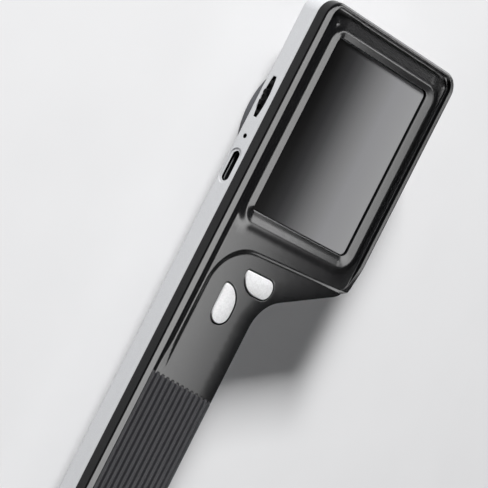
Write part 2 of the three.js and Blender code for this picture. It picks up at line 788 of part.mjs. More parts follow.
function ringRetainer() {
  const top = retainerBottom + retainerThickness;
  const half = retainerEarWidth / 2;
  const ear = hoodPostReach + half;
  return cut(
    join(
      disc(screenX, lensY, retainerRadius, retainerBottom, top, wideSides),
      block(screenX - half, screenX + half, lensY - ear, lensY + ear, retainerBottom, top),
    ),
    disc(screenX, lensY, ringBore + fitGap, retainerBottom - overrun, top + overrun, wideSides),
    ...hoodPostPlaces.map(([x, y]) =>
      disc(x, y, hoodPinRadius + fitGap, retainerBottom - overrun, top + overrun)),
  );
}

function lensBarrel() {
  const back = barrelFront + barrelLength;
  const seat = barrelFront + frontLensSeat;
  const rearSeat = back - rearLensDepth;
  return turned(screenX, lensY, [
    [frontLensRadius + fitGap, barrelFront],
    [barrelRadius - fitGap, barrelFront],
    [barrelRadius, barrelFront + fitGap],
    [barrelRadius, back],
    [rearLensRadius + fitGap, back],
    [rearLensRadius + fitGap, rearSeat],
    [apertureRadius, rearSeat],
    [apertureRadius, seat],
    [frontLensRadius + fitGap, seat],
  ]);
}

// A lens with one flat face and one bulging face, side being -1 for a bulge towards the hood's rim
function lens(radius, flat, thickness, bulge, side) {
  const edge = flat + side * thickness;
  const dome = Array.from({ length: bevelSteps + 1 }, (_, i) => {
    const angle = (i / bevelSteps) * (Math.PI / 2);
    return [radius * Math.cos(angle), edge + side * bulge * Math.sin(angle)];
  });
  const profile = [[0, flat], [radius, flat], ...dome];
  return turned(screenX, lensY, side > 0 ? profile : profile.reverse(), wideSides / 2);
}

function lensHood() {
  const floor = hoodFloorFromRim;
  const floorTop = floor + hoodFloorThickness;
  const inner = hoodRadius - hoodWall;
  const spigotInner = hoodSpigotRadius - hoodSpigotWall;
  const collar = hoodBore + hoodCollarWall;
  const body = turned(screenX, lensY, [
    [inner, 0],
    [hoodRadius - hoodRimRound, 0],
    [hoodRadius, hoodRimRound],
    [hoodRadius, hoodSeatTop],
    [hoodSpigotRadius, hoodSeatTop],
    [hoodSpigotRadius, floorTop + hoodSpigotHeight],
    [spigotInner, floorTop + hoodSpigotHeight],
    [spigotInner, floorTop],
    [collar, floorTop],
    [collar, wheelBottom - fitGap],
    [hoodBore, wheelBottom - fitGap],
    [hoodBore, floor],
    [inner, floor],
  ]);
  const posts = hoodPostPlaces.map(([x, y]) =>
    join(
      disc(x, y, hoodPostRadius, floorTop - fitGap, retainerBottom - fitGap),
      disc(x, y, hoodPinRadius, floorTop, retainerBottom + retainerThickness),
    ));
  const holes = hoodScrewPlaces.map(([x, y]) =>
    disc(x, y, hoodScrewRadius + fitGap, hoodScrewTip - fitGap, hoodSeatTop + overrun));
  return cut(join(body, ...posts), ...holes);
}

const ledBoardTop = hoodFloorFromRim - fitGap;
const ledBoardBottom = ledBoardTop - ledBoardThickness;
const ledTop = ledBoardBottom - fitGap;
const diffuserTop = ledTop - ledThickness - fitGap;
const insideHood = hoodRadius - hoodWall - fitGap;
const ledReach = (hoodBore + insideHood) / 2;

function led(x, y, angle) {
  const chip = new THREE.BoxGeometry(ledSide, ledSide, ledThickness);
  return solid(chip.rotateZ(angle).translate(x, y, ledTop - ledThickness / 2));
}

// Keys, their plungers and their switches
function key(shapeAt) {
  return join(
    roundedPrism(shapeAt(0), flangeLevel - keyFlangeThickness, thumbLevel + keyRise, keyCrown, keyCrown),
    prism(shapeAt(keyFlangeWidth), flangeUnder, flangeLevel),
  );
}
const keyPlunger = ([x, y]) =>
  disc(x, y, switchPlungerRadius, plungerTop - switchHeight + keyTravel / 2, plungerTop);
function keySwitch([x, y]) {
  const half = switchSide / 2;
  return cut(
    block(x - half, x + half, y - half, y + half, switchBottom, switchTop),
    disc(x, y, switchPlungerRadius + fitGap, switchBottom - overrun, switchTop + overrun),
  );
}

// Charging socket: a drawn metal shell, closed at its inner end, round a flat tongue
const socketFront = shellWall + fitGap;
const socketBack = socketFront + socketDepth;
function chargingSocket() {
  return cut(
    throughWall(portShape(0), socketFront, socketBack),
    throughWall(portShape(-socketWall), socketFront - overrun, socketBack - socketWall),
  );
}
function chargingTongue() {
  const half = tongueWidth / 2;
  const thick = tongueThickness / 2;
  const y = portY;
  return block(socketFront + socketWall, socketBack - socketWall - fitGap, y - half, y + half,
    sideLine - thick, sideLine + thick);
}

// Reset button behind the pinhole
const resetFront = socketFront + resetPlungerShow;
function resetSwitch() {
  const y = pinholeY;
  const [wide, high] = [resetBodyWidth / 2, resetBodyHeight / 2];
  const body = block(resetFront, resetFront + resetBodyLength, y - wide, y + wide, sideLine - high, sideLine + high);
  const depth = socketFront + resetPlungerLength + resetTravel + runningGap;
  return cut(body, crossBar(resetFront - overrun, depth, y, sideLine, resetPlungerRadius + runningGap));
}

// Boards
function mainBoard() {
  const margin = shellWall + boardMargin;
  const corners = rectangle(margin, headWidth - margin, boardEnd, -margin, boardCornerRadius);
  return cut(
    prism(outline(corners), boardBottom, boardTop),
    ...screwPlaces.map(([x, y]) => disc(x, y, screwRadius + fitGap, boardBottom - overrun, boardTop + overrun)),
  );
}
function keyBoard() {
  const corners = rectangle(
    keyBoardX, keyBoardX + keyBoardWidth, keyBoardEnd, keyBoardTopEdge, boardCornerRadius);
  return prism(outline(corners), keyBoardBottom, keyBoardTop);
}
function boardCable() {
  return block(ribbonX, ribbonX + ribbonWidth, keyBoardTopEdge - boardMargin, boardEnd + boardMargin,
    switchBottom, switchBottom + ribbonThickness);
}

// Screen stack
function lcdPanel() {
  const [wide, high] = [lcdWidth / 2, lcdHeight / 2];
  return block(screenX - wide, screenX + wide, windowY - high, windowY + high, lcdBottom, lcdTop);
}
function lcdFrame() {
  const [wide, high] = [lcdWidth / 2 + fitGap, lcdHeight / 2 + fitGap];
  const [far, tall] = [wide + lcdFrameWall, high + lcdFrameWall];
  const notch = lcdFlexWidth / 2 + fitGap;
  return cut(
    block(screenX - far, screenX + far, windowY - tall, windowY + tall, lcdBottom, lcdTop),
    block(screenX - wide, screenX + wide, windowY - high, windowY + high, lcdBottom - overrun, lcdTop + overrun),
    block(screenX - notch, screenX + notch, windowY - tall - overrun, windowY, lcdBottom - overrun,
      lcdTop + overrun),
  );
}
function lcdFlex() {
  const half = lcdFlexWidth / 2;
  const y1 = windowY - lcdHeight / 2 - fitGap;
  const y0 = y1 - boardMargin - lcdFrameWall;
  const upper = (lcdTop + lcdBottom) / 2;
  const thick = lcdFlexThickness;
  const section = [[y0, lcdBottom], [y0 + boardMargin, lcdBottom], [y0 + boardMargin, lcdBottom + thick],
    [y0 + thick, lcdBottom + thick], [y0 + thick, upper], [y1, upper], [y1, upper + thick], [y0, upper + thick]];
  const shape = new THREE.Shape(section.map(([y, z]) => new THREE.Vector2(y, z)));
  return throughWall(shape, screenX - half, screenX + half);
}

// Battery, its pad, its connector and its two leads
function battery() {
  const corners = rectangle(
    batteryX, batteryX + batteryWidth, batteryEnd, -batteryFromTop, batteryCornerRadius);
  return prism(outline(corners), backFloor + fitGap, backFloor + fitGap + batteryThickness);
}
function batteryPad() {
  const z = backFloor + 2 * fitGap + batteryThickness;
  const inset = boardMargin;
  return block(batteryX + inset, batteryX + batteryWidth - inset, batteryEnd + foamEndRoom,
    -batteryFromTop - foamEndRoom, z, z + foamThickness);
}
const connectorY = keyBoardEnd + boardMargin;
function batteryConnector() {
  return block(connectorX, connectorX + connectorWidth, connectorY, connectorY + connectorLength,
    switchBottom, switchBottom + connectorHeight);
}
function batteryLead(side) {
  const x = connectorX + connectorWidth / 2 + (side * leadSpacing) / 2;
  const high = switchBottom + connectorHeight / 2;
  const low = backFloor + fitGap + batteryThickness / 2;
  const [y1, y0] = [connectorY - fitGap, -batteryFromTop + fitGap];
  const middle = (y0 + y1) / 2;
  const route = new THREE.CatmullRomCurve3([
    new THREE.Vector3(x, y1, high),
    new THREE.Vector3(x, y1 - boardMargin, high),
    new THREE.Vector3(x, middle, (high + low) / 2),
    new THREE.Vector3(x, y0 + boardMargin, low),
    new THREE.Vector3(x, y0, low),
  ]);
  const ring = new THREE.Shape().absarc(0, 0, leadRadius, 0, 2 * Math.PI);
  const section = new THREE.Shape(ring.getPoints(bevelSteps).slice(1));
  const options = { extrudePath: route, steps: smallSides, bevelEnabled: false };
  return solid(new THREE.ExtrudeGeometry(section, options));
}

const nodes = new THREE.Group();
function add(name, piece, material) {
  const made = piece.getMesh();
  const geometry = new THREE.BufferGeometry();
  geometry.setAttribute("position", new THREE.BufferAttribute(made.vertProperties, 3));
  geometry.setIndex(new THREE.BufferAttribute(made.triVerts, 1));
  geometry.computeVertexNormals();
  const mesh = new THREE.Mesh(geometry, material);
  mesh.name = name;
  nodes.add(mesh);
}

const lensSeat = barrelFront + frontLensSeat - fitGap;
const rearSeat = barrelFront + barrelLength - rearLensDepth + fitGap;
const lensRingBottom = barrelFront + seamGap;
const sensorTop = boardBottom - fitGap;

add("front_shell", frontShell(), blackPlastic);
add("back_shell", backShell(), silverPaint);
add("grip_insert", gripInsert(), gripRubber);
add("screen_glass", prism(windowShape(-fitGap), glassTop - glassThickness, glassTop), windowGlass);
add("lcd_panel", lcdPanel(), lcdGrey);
add("lcd_frame", lcdFrame(), steel);
add("lcd_flex", lcdFlex(), amberFilm);
add("main_board", mainBoard(), boardGreen);
add("image_sensor", block(
  screenX - sensorWidth / 2, screenX + sensorWidth / 2, lensY - sensorHeight / 2, lensY + sensorHeight / 2,
  sensorTop - sensorThickness, sensorTop), darkPlastic);
add("shield_can", block(
  shieldX, shieldX + shieldWidth, boardEnd + shieldEndRoom, boardEnd + shieldEndRoom + shieldLength,
  postTop - shieldHeight, postTop), steel);
add("key_board", keyBoard(), boardGreen);
add("key_board_cable", boardCable(), amberFilm);
add("left_key", key(leftKeyShape), keyPlastic);
add("right_key", key(rightKeyShape), keyPlastic);
for (const side of ["left", "right"]) {
  add(`${side}_key_plunger`, keyPlunger(keyMiddle[side]), darkPlastic);
  add(`${side}_key_switch`, keySwitch(keyMiddle[side]), steel);
}
add("usb_c_socket", chargingSocket(), steel);
add("usb_c_tongue", chargingTongue(), darkPlastic);
add("reset_switch", resetSwitch(), darkPlastic);
add("reset_plunger", crossBar(
  socketFront, socketFront + resetPlungerLength, pinholeY, sideLine, resetPlungerRadius), darkPlastic);
add("focus_thumbwheel", thumbwheel(), darkPlastic);
add("focus_wheel_axle", wheelAxle(), steel);
add("focus_ring_gear", focusRing(), darkPlastic);
add("ring_retainer", ringRetainer(), steel);
add("lens_barrel", lensBarrel(), darkPlastic);
add("front_lens", lens(frontLensRadius, lensSeat, frontLensThickness, frontLensBulge, -1), lensGlass);
add("rear_lens", lens(rearLensRadius, rearSeat, rearLensThickness, frontLensBulge, 1), lensGlass);
add("lens_retaining_ring", washer(
  screenX, lensY, lensRingBore, frontLensRadius, lensRingBottom, lensRingBottom + lensRingThickness), darkPlastic);
add("lens_hood", lensHood(), darkPlastic);
add("led_board", washer(screenX, lensY, hoodBore, insideHood, ledBoardBottom, ledBoardTop), boardGreen);
add("led_diffuser", washer(
  screenX, lensY, hoodBore, insideHood, diffuserTop - diffuserThickness, diffuserTop), frostedWhite);
postRing(ledCount, ledReach, 1 / 2).forEach(([x, y, angle], i) =>
  add(`led_${i + 1}`, led(x, y, angle), ledWhite));
add("battery_pack", battery(), batteryFoil);
add("battery_foam_pad", batteryPad(), foamGrey);
add("battery_connector", batteryConnector(), keyPlastic);
add("battery_lead_red", batteryLead(1), redLead);
add("battery_lead_black", batteryLead(-1), blackLead);
screwPlaces.forEach(([x, y], i) => {
  const length = screwTip(y) - caseScrewEnd;
  const piece = screw([x, y], caseScrewEnd, 1, length, screwRadius, screwHeadRadius, screwHeadThickness);
  add(`case_screw_${i + 1}`, piece, steel);
});
hoodScrewPlaces.forEach(([x, y], i) => {
  const length = hoodScrewEnd - hoodScrewTip;
  const piece = screw(
    [x, y], hoodScrewEnd, -1, length, hoodScrewRadius, hoodScrewHeadRadius, hoodScrewHeadThickness);
  add(`hood_screw_${i + 1}`, piece, steel);
});

// The origin is the middle of the base of the whole
const box = new THREE.Box3().setFromObject(nodes, true);
nodes.position.set(-(box.min.x + box.max.x) / 2, -(box.min.y + box.max.y) / 2, -box.min.z);

export default nodes;
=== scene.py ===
import json
import math

import bpy
import numpy as np
from mathutils import Matrix, Vector
from mathutils.geometry import delaunay_2d_cdt


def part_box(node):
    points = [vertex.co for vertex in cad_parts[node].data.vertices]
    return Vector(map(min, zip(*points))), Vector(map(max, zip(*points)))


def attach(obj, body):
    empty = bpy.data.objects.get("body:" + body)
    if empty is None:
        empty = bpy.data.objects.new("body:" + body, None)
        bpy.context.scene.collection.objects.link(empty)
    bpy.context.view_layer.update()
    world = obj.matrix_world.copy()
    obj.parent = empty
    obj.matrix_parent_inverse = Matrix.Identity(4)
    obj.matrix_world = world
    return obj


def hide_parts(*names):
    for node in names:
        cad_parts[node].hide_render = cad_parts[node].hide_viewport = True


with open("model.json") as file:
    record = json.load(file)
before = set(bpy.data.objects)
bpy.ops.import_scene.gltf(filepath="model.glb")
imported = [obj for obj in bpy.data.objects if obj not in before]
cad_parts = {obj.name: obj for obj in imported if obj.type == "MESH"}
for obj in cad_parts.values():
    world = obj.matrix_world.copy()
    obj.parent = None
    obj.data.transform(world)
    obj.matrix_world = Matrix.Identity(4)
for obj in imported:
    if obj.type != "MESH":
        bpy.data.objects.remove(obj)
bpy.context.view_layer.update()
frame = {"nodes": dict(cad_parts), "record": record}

# The casing is drawn in millimetres: x from the left side wall, y from the top of the head (so it is
# negative down the handle) and z from the rim of the lens hood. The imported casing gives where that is.
MM = 0.001
case_low, case_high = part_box("front_shell")
LEFT = case_low.x / MM
TOP = case_high.y / MM


def to_row(points):
    """Points in the casing's millimetres, as points of the row frame in metres."""
    return (np.asarray(points, float) + (LEFT, TOP, 0.0)) * MM


def extent(node):
    """A node's lowest and highest corner in the casing's millimetres."""
    return [np.array(corner) / MM - (LEFT, TOP, 0.0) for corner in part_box(node)]


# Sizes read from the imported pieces
shell_low, shell_high = extent("front_shell")
back_low, back_high = extent("back_shell")
glass_low, glass_high = extent("screen_glass")
hood_low, hood_high = extent("lens_hood")
wheel_low, wheel_high = extent("focus_thumbwheel")
ring_low, ring_high = extent("focus_ring_gear")
socket_low, socket_high = extent("usb_c_socket")
reset_low, reset_high = extent("reset_plunger")
grip_low, _ = extent("grip_insert")
HEAD_WIDTH = shell_high[0]
TOTAL_LENGTH = -shell_low[1]
RIM_TOP = shell_high[2]
BACK_FACE = back_low[2]
SEAM_TOP = back_high[2]
LENS_X, LENS_Y = (ring_low[:2] + ring_high[:2]) / 2
SIDE_LINE = (wheel_low[2] + wheel_high[2]) / 2
WHEEL_X, WHEEL_Y = (wheel_low[:2] + wheel_high[:2]) / 2

# Casing seen from the front
HEAD_LENGTH = 72.9
HANDLE_WIDTH = 32.4
HEAD_ROUND = 5.5
END_ROUND = 9.0
NECK_ROUND = 11.0
NECK_SLOPE = math.radians(23.5)
PARTING = 17.75
WALL = 1.3

# Relief of the front casing, measured down from the top of the rim
RIM_INNER_ROUND = 0.18
WALL_RUN = 0.02
FLOOR_DROP = 1.4
THUMB_DROP = 2.1
SHOULDER_WIDTH = 7.0
GRIP_SHOULDER = 4.0
SHOULDER_DROP = 0.75
PLATE = 1.2
LEAST_HEIGHT = 0.1
FRAME_DROP = 0.5
TOP_FLOOR_DROP = 0.5
TOP_FLOOR_FADE = (-4.6, -1.6)
VALLEY_SLOPE = 0.37
VALLEY_WIDTH = 3.3
VALLEY_ROUND = 0.06
VALLEY_CORNER_RISE = 0.3
VALLEY_CORNER_FADE = (-9.0, -6.5)
CREASE_X = 6.3
CREASE_Y = -71.2
CREASE_SLANT = 0.03
CREASE_ROUND = 13.0
CREASE_WIDTH = 1.6
CREASE_ARC_WIDTH = 2.3
CREASE_TAPER = (6.0, 16.0)

# The window's opening, which lies further to the right and to the top than its solid by the spread
WINDOW_ROUND = 2.0
WINDOW_SPREAD = 0.4
WINDOW_GAP = 0.25
WINDOW_EDGE_ROUND = 0.15

# Measures that differ on the sides facing left, right, up and down. A lean is how far the inner edge of a top
# surface lies below its outer edge, and a slope is the rise in each millimetre.
RIM_WIDTH = (2.6, 1.7, 1.1, 2.6)
RIM_LEAN = (-0.12, 0.22, 0.15, 0.0)
RIM_EDGE_ROUND = (0.55, 0.7, 1.0, 0.55)
RIM_FOOT_WIDTH = (0.35, 0.35, 0.6, 0.35)
RIM_FOOT_HEIGHT = (0.35, 0.35, 0.4, 0.35)
FRAME_WIDTH = (2.6, 3.6, 1.9, 3.7)
FRAME_LEAN = (-0.12, 0.47, 0.35, 1.0)
FRAME_ROUND = (0.14, 0.3, 0.3, 0.36)
FRAME_SLOPE = (0.42, 0.42, 0.28, 0.42)

# The least that such a measure and a blend may be, for places that face no side
LEAST_WIDTH = 0.1
LEAST_BLEND = 0.05

# Where the rim and the ledge beside the thumb recess start and finish fading into the surface, along y
LEFT_RIM_FADE = (-180.0, -189.0)
HEAD_RIM_FADE = (-62.0, -72.5)
LEDGE_FADE = (-104.0, -113.5)

# Ribbed grip
GRIP_LEFT = grip_low[0]
GRIP_END = grip_low[1]
GRIP_TOP = -114.5
GRIP_SLANT = 2.8
GRIP_THICKNESS = 0.45
GRIP_GAP = 0.15
SEAT_DROP = 0.7
RIB_COUNT = 13
RIB_HEIGHT = 0.5
RIB_SHARE = 0.72
GRIP_SCALLOP = 0.7
GRIP_OVERHANG = 1.0
GRIP_SIDE_INSET = 0.02
RIB_POINTS = 14

# A rib's ends start this far inside the insert's edges, and rise over this length
RIB_END_START = 0.3
RIB_END_ROUND = 0.9

# How far apart points lie on the front casing, and how far each turns on a round part
LOOP_SPACING = 1.5
ARC_STEP = math.radians(6)


# Outlines


def unit(vector):
    return vector / np.linalg.norm(vector)


def rounded(corners):
    """An outline's round parts (centre, radius, first angle, turn), from corners (x, y, radius) that go
    counterclockwise. The straight parts run from each round part to the next."""
    tips = [np.array(corner[:2], float) for corner in corners]
    along = [unit(tips[(i + 1) % len(tips)] - tip) for i, tip in enumerate(tips)]
    arcs = []
    for i, tip in enumerate(tips):
        before, after = along[i - 1], along[i]
        turn = math.atan2(before[0] * after[1] - before[1] * after[0], before @ after)
        radius = corners[i][2]
        start = tip - before * radius * math.tan(abs(turn) / 2)
        centre = start + np.array((-before[1], before[0])) * math.copysign(radius, turn)
        spoke = start - centre
        arcs.append((centre, radius, math.atan2(spoke[1], spoke[0]), turn))
    return arcs


def arc_point(arc, share, inset=0.0):
    """The point at a share of a round part, drawn inset."""
    centre, radius, first, turn = arc
    angle = first + turn * share
    reach = radius - inset * math.copysign(1, turn)
    return centre + reach * np.array((math.cos(angle), math.sin(angle)))


def ring(arcs, inset=0.0, spacing=1.2):
    """The outline drawn inset, with as many points at every inset so that neighbouring rings line up."""
    points = []
    for i, arc in enumerate(arcs):
        steps = max(2, math.ceil(abs(arc[3]) / ARC_STEP))
        points += [arc_point(arc, j / steps, inset) for j in range(steps + 1)]
        start, end = arc_point(arc, 1), arc_point(arcs[(i + 1) % len(arcs)], 0)
        runs = math.ceil(np.linalg.norm(end - start) / spacing)
        first, last = points[-1], arc_point(arcs[(i + 1) % len(arcs)], 0, inset)
        points += [first + (last - first) * j / runs for j in range(1, runs)]
    return np.array(points)


def inside(arcs, x, y):
    """Distance of points inside an outline: negative outside it."""
    best = np.full(np.shape(x), 1e9)
    for i, (centre, radius, first, turn) in enumerate(arcs):
        dx, dy = x - centre[0], y - centre[1]
        side = math.copysign(1.0, turn)
        swept = np.mod((np.arctan2(dy, dx) - first) * side, 2 * math.pi)
        on_arc = side * (radius - np.hypot(dx, dy))
        best = np.where((swept <= abs(turn)) & (abs(on_arc) < abs(best)), on_arc, best)
        start, end = arc_point(arcs[i], 1), arc_point(arcs[(i + 1) % len(arcs)], 0)
        run = unit(end - start)
        along = (x - start[0]) * run[0] + (y - start[1]) * run[1]
        across = (y - start[1]) * run[0] - (x - start[0]) * run[1]
        beside = (along >= 0) & (along <= np.linalg.norm(end - start))
        best = np.where(beside & (abs(across) < abs(best)), across, best)
    return best


def within(polygon, x, y):
    """Distance of points inside a drawn polygon: negative outside it."""
    ends = np.roll(polygon, -1, axis=0)
    best = np.full(np.shape(x), 1e9)
    crossings = np.zeros(np.shape(x), int)
    for (x0, y0), (x1, y1) in zip(polygon, ends):
        run = np.array((x1 - x0, y1 - y0))
        share = np.clip(((x - x0) * run[0] + (y - y0) * run[1]) / (run @ run), 0, 1)
        best = np.minimum(best, np.hypot(x - x0 - share * run[0], y - y0 - share * run[1]))
        spans = (y0 > y) != (y1 > y)
        rise = np.where(spans, (y - y0) / np.where(y1 == y0, 1.0, y1 - y0), 0.0)
        crossings += spans & (x < x0 + rise * run[0])
    return np.where(crossings % 2 == 1, best, -best)


def box_corners(x0, x1, y0, y1, radius):
    return [(x0, y0, radius), (x1, y0, radius), (x1, y1, radius), (x0, y1, radius)]


def moved_in(corners, margins):
    """Corners of an outline whose sides are moved inwards; side i runs from corner i to the next one."""
    moved = []
    for i, (x, y, radius) in enumerate(corners):
        tip = np.array((x, y), float)
        before = unit(tip - corners[i - 1][:2])
        after = unit(np.array(corners[(i + 1) % len(corners)][:2]) - tip)
        shifts = np.array((margins[i - 1], margins[i]))
        tip = tip + np.linalg.solve([(-before[1], before[0]), (-after[1], after[0])], shifts)
        turn = before[0] * after[1] - before[1] * after[0]
        moved.append((*tip, radius - shifts.mean() * math.copysign(1, turn)))
    return moved


neck_drop = (HEAD_WIDTH - HANDLE_WIDTH) * math.tan(NECK_SLOPE)
case_corners = [
    (0, -TOTAL_LENGTH, END_ROUND),
    (HANDLE_WIDTH, -TOTAL_LENGTH, END_ROUND),
    (HANDLE_WIDTH, -HEAD_LENGTH - neck_drop, NECK_ROUND),
    (HEAD_WIDTH, -HEAD_LENGTH, HEAD_ROUND),
    (HEAD_WIDTH, 0, HEAD_ROUND),
    (0, 0, HEAD_ROUND),
]
window_corners = box_corners(
    glass_low[0] - WINDOW_GAP, glass_high[0] + WINDOW_GAP + WINDOW_SPREAD,
    glass_low[1] - WINDOW_GAP, glass_high[1] + WINDOW_GAP + WINDOW_SPREAD, WINDOW_ROUND)
left_rim, right_rim, upper_rim, lower_rim = RIM_WIDTH
CASE = rounded(case_corners)
RIM_INNER = rounded(moved_in(case_corners, (lower_rim, lower_rim, lower_rim, right_rim, upper_rim, left_rim)))
WINDOW = rounded(window_corners)


def frame_outline(share):
    """An outline between the window's edge and the outer edge of the frame's top surface."""
    left, right, upper, lower = [-share * width for width in FRAME_WIDTH]
    return rounded(moved_in(window_corners, (lower, right, upper, left)))


FRAME = frame_outline(1)


def bezier(points, steps):
    """Points along a Bezier curve, without its last one."""
    shares = np.linspace(0, 1, steps, endpoint=False)[:, None]
    layer = [np.array(point, float) for point in points]
    while len(layer) > 1:
        layer = [a + (b - a) * shares for a, b in zip(layer, layer[1:])]
    return layer[0]


def key_outline(x, y, length, width, upright):
    """A key's drop shape from its top left corner: a straight side from the point to the round end, and a
    bulging side back to the point."""
    end, point_round = width / 2, 0.8
    pull = length + end / 3
    bulge_share, point_share = 0.58, 0.25
    bulge = (length * bulge_share, width)
    path = [
        [(length - end, 0), (pull, 0), (pull, width), (length - end, width)],
        [(length - end, width), bulge],
        [bulge, (length * point_share, width), (0, width * bulge_share), (0, point_round)],
        [(0, point_round), (0, 0), (point_round, 0)],
        [(point_round, 0), (length - end, 0)],
    ]
    points = np.concatenate([bezier(part, 16 if len(part) == 4 else 8) for part in path])
    if upright:
        return np.column_stack((x + points[:, 1], y - points[:, 0]))
    return np.column_stack((x + points[:, 0], y - points[:, 1]))[::-1]


def grown(polygon, margin):
    """A smooth counterclockwise polygon moved outwards by a margin."""
    tangent = np.roll(polygon, -1, axis=0) - np.roll(polygon, 1, axis=0)
    tangent /= np.linalg.norm(tangent, axis=1)[:, None]
    return polygon + margin * np.column_stack((tangent[:, 1], -tangent[:, 0]))


# The keys' drop shapes: left end, upper end, length, width, and whether the key stands upright
KEYS = {
    "left_key": key_outline(15.2, -84.2, 11.7, 7.1, True),
    "right_key": key_outline(20.8, -78.3, 12.7, 6.15, False),
}
KEY_GAP = 0.38
KEY_GAP_ROUND = 0.3


# Front casing


def fade(value, start, end):
    """Smoothly from 0 at start to 1 at end."""
    share = np.clip((value - start) / (end - start), 0, 1)
    return share * share * (3 - 2 * share)


def quarter(distance, width, height=None):
    """How far a rounded edge has dropped, at a distance from where it ends as a wall."""
    share = np.clip(1 - distance / width, 0, 1)
    return (width if height is None else height) * (1 - np.sqrt(1 - share * share))


def softer_of(a, b, blend, side):
    """The lower (side 1) or higher (side -1) of two heights, blended where they are nearly equal."""
    share = np.clip(0.5 + side * (b - a) / (2 * blend), 0, 1)
    return b + (a - b) * share - side * blend * share * (1 - share)


def side_shares(arcs, x, y, reach=0.05):
    """How far each point of a band round an outline belongs to the sides facing left, right, up and down."""
    facing_x = (inside(arcs, x - reach, y) - inside(arcs, x + reach, y)) / (2 * reach)
    facing_y = (inside(arcs, x, y - reach) - inside(arcs, x, y + reach)) / (2 * reach)
    return [np.maximum(facing, 0) ** 2 for facing in (-facing_x, facing_x, facing_y, -facing_y)]


def crease_line(x):
    """The thumb recess's upper edge, which slants a little."""
    return CREASE_Y - CREASE_SLANT * (HEAD_WIDTH - x)


def crease_inside(x, y):
    """Distance inside the thumb recess, whose upper left corner is round."""
    qx, qy = CREASE_ROUND - (x - CREASE_X), CREASE_ROUND - (crease_line(x) - y)
    corner = np.hypot(np.maximum(qx, 0), np.maximum(qy, 0)) + np.minimum(np.maximum(qx, qy), 0)
    return CREASE_ROUND - corner


def rim_mask(x, y):
    """1 where the casing has its raised rim, 0 where its edge is a soft shoulder."""
    left = fade(y, LEFT_RIM_FADE[1], LEFT_RIM_FADE[0]) * (x < HANDLE_WIDTH / 2)
    head = fade(y, HEAD_RIM_FADE[1], HEAD_RIM_FADE[0])
    return np.maximum(left, head)


def grip_section():
    """The grip from its left side over the handle's shoulder: points (x, z) under its ribs, the way out of
    the surface at each, and how high the rib stands there as a share of its height."""
    level = RIM_TOP - THUMB_DROP
    bend_x = HANDLE_WIDTH - GRIP_SHOULDER
    bend_height = level - PARTING
    bend = np.linspace(math.pi / 2, math.asin((grip_low[2] - PARTING) / bend_height), 200)
    bend_width = GRIP_SHOULDER - GRIP_SIDE_INSET
    arc = np.column_stack((bend_x + bend_width * np.cos(bend), PARTING + bend_height * np.sin(bend)))
    path = np.concatenate(([(GRIP_LEFT, level)], arc))
    run = np.concatenate(([0], np.cumsum(np.linalg.norm(np.diff(path, axis=0), axis=1))))
    along = np.linspace(0, run[-1], RIB_COUNT * RIB_POINTS + 1)
    base = np.column_stack((np.interp(along, run, path[:, 0]), np.interp(along, run, path[:, 1])))
    slope = np.gradient(base, along, axis=0)
    outward = np.column_stack((-slope[:, 1], slope[:, 0]))
    outward /= np.linalg.norm(outward, axis=1)[:, None]
    across = np.abs(np.mod(along / run[-1] * RIB_COUNT, 1.0) - 0.5) / (RIB_SHARE / 2)
    return base, outward, np.sqrt(np.clip(1 - across**3, 0, 1))


GRIP_BASE, GRIP_OUTWARD, GRIP_RIB = grip_section()
grip_slant = GRIP_SLANT / (HANDLE_WIDTH + 2 * GRIP_OVERHANG)
grip_drop = (GRIP_BASE[:, 0] + GRIP_OVERHANG) * grip_slant
GRIP_UPPER_EDGE = GRIP_TOP - grip_drop - GRIP_SCALLOP * (1 - GRIP_RIB)


def seat_polygon(margin=0.0):
    """The grip's seat, grown by a margin; it runs out over the handle's right edge."""
    upper = np.column_stack((GRIP_BASE[:, 0], GRIP_UPPER_EDGE + margin))
    left, beyond = GRIP_LEFT - margin, HANDLE_WIDTH + GRIP_OVERHANG
    low = GRIP_END - margin
    return np.concatenate((
        [(left, low), (beyond, low), (beyond, upper[-1][1])], upper[:0:-1], [(left, upper[0][1])]))


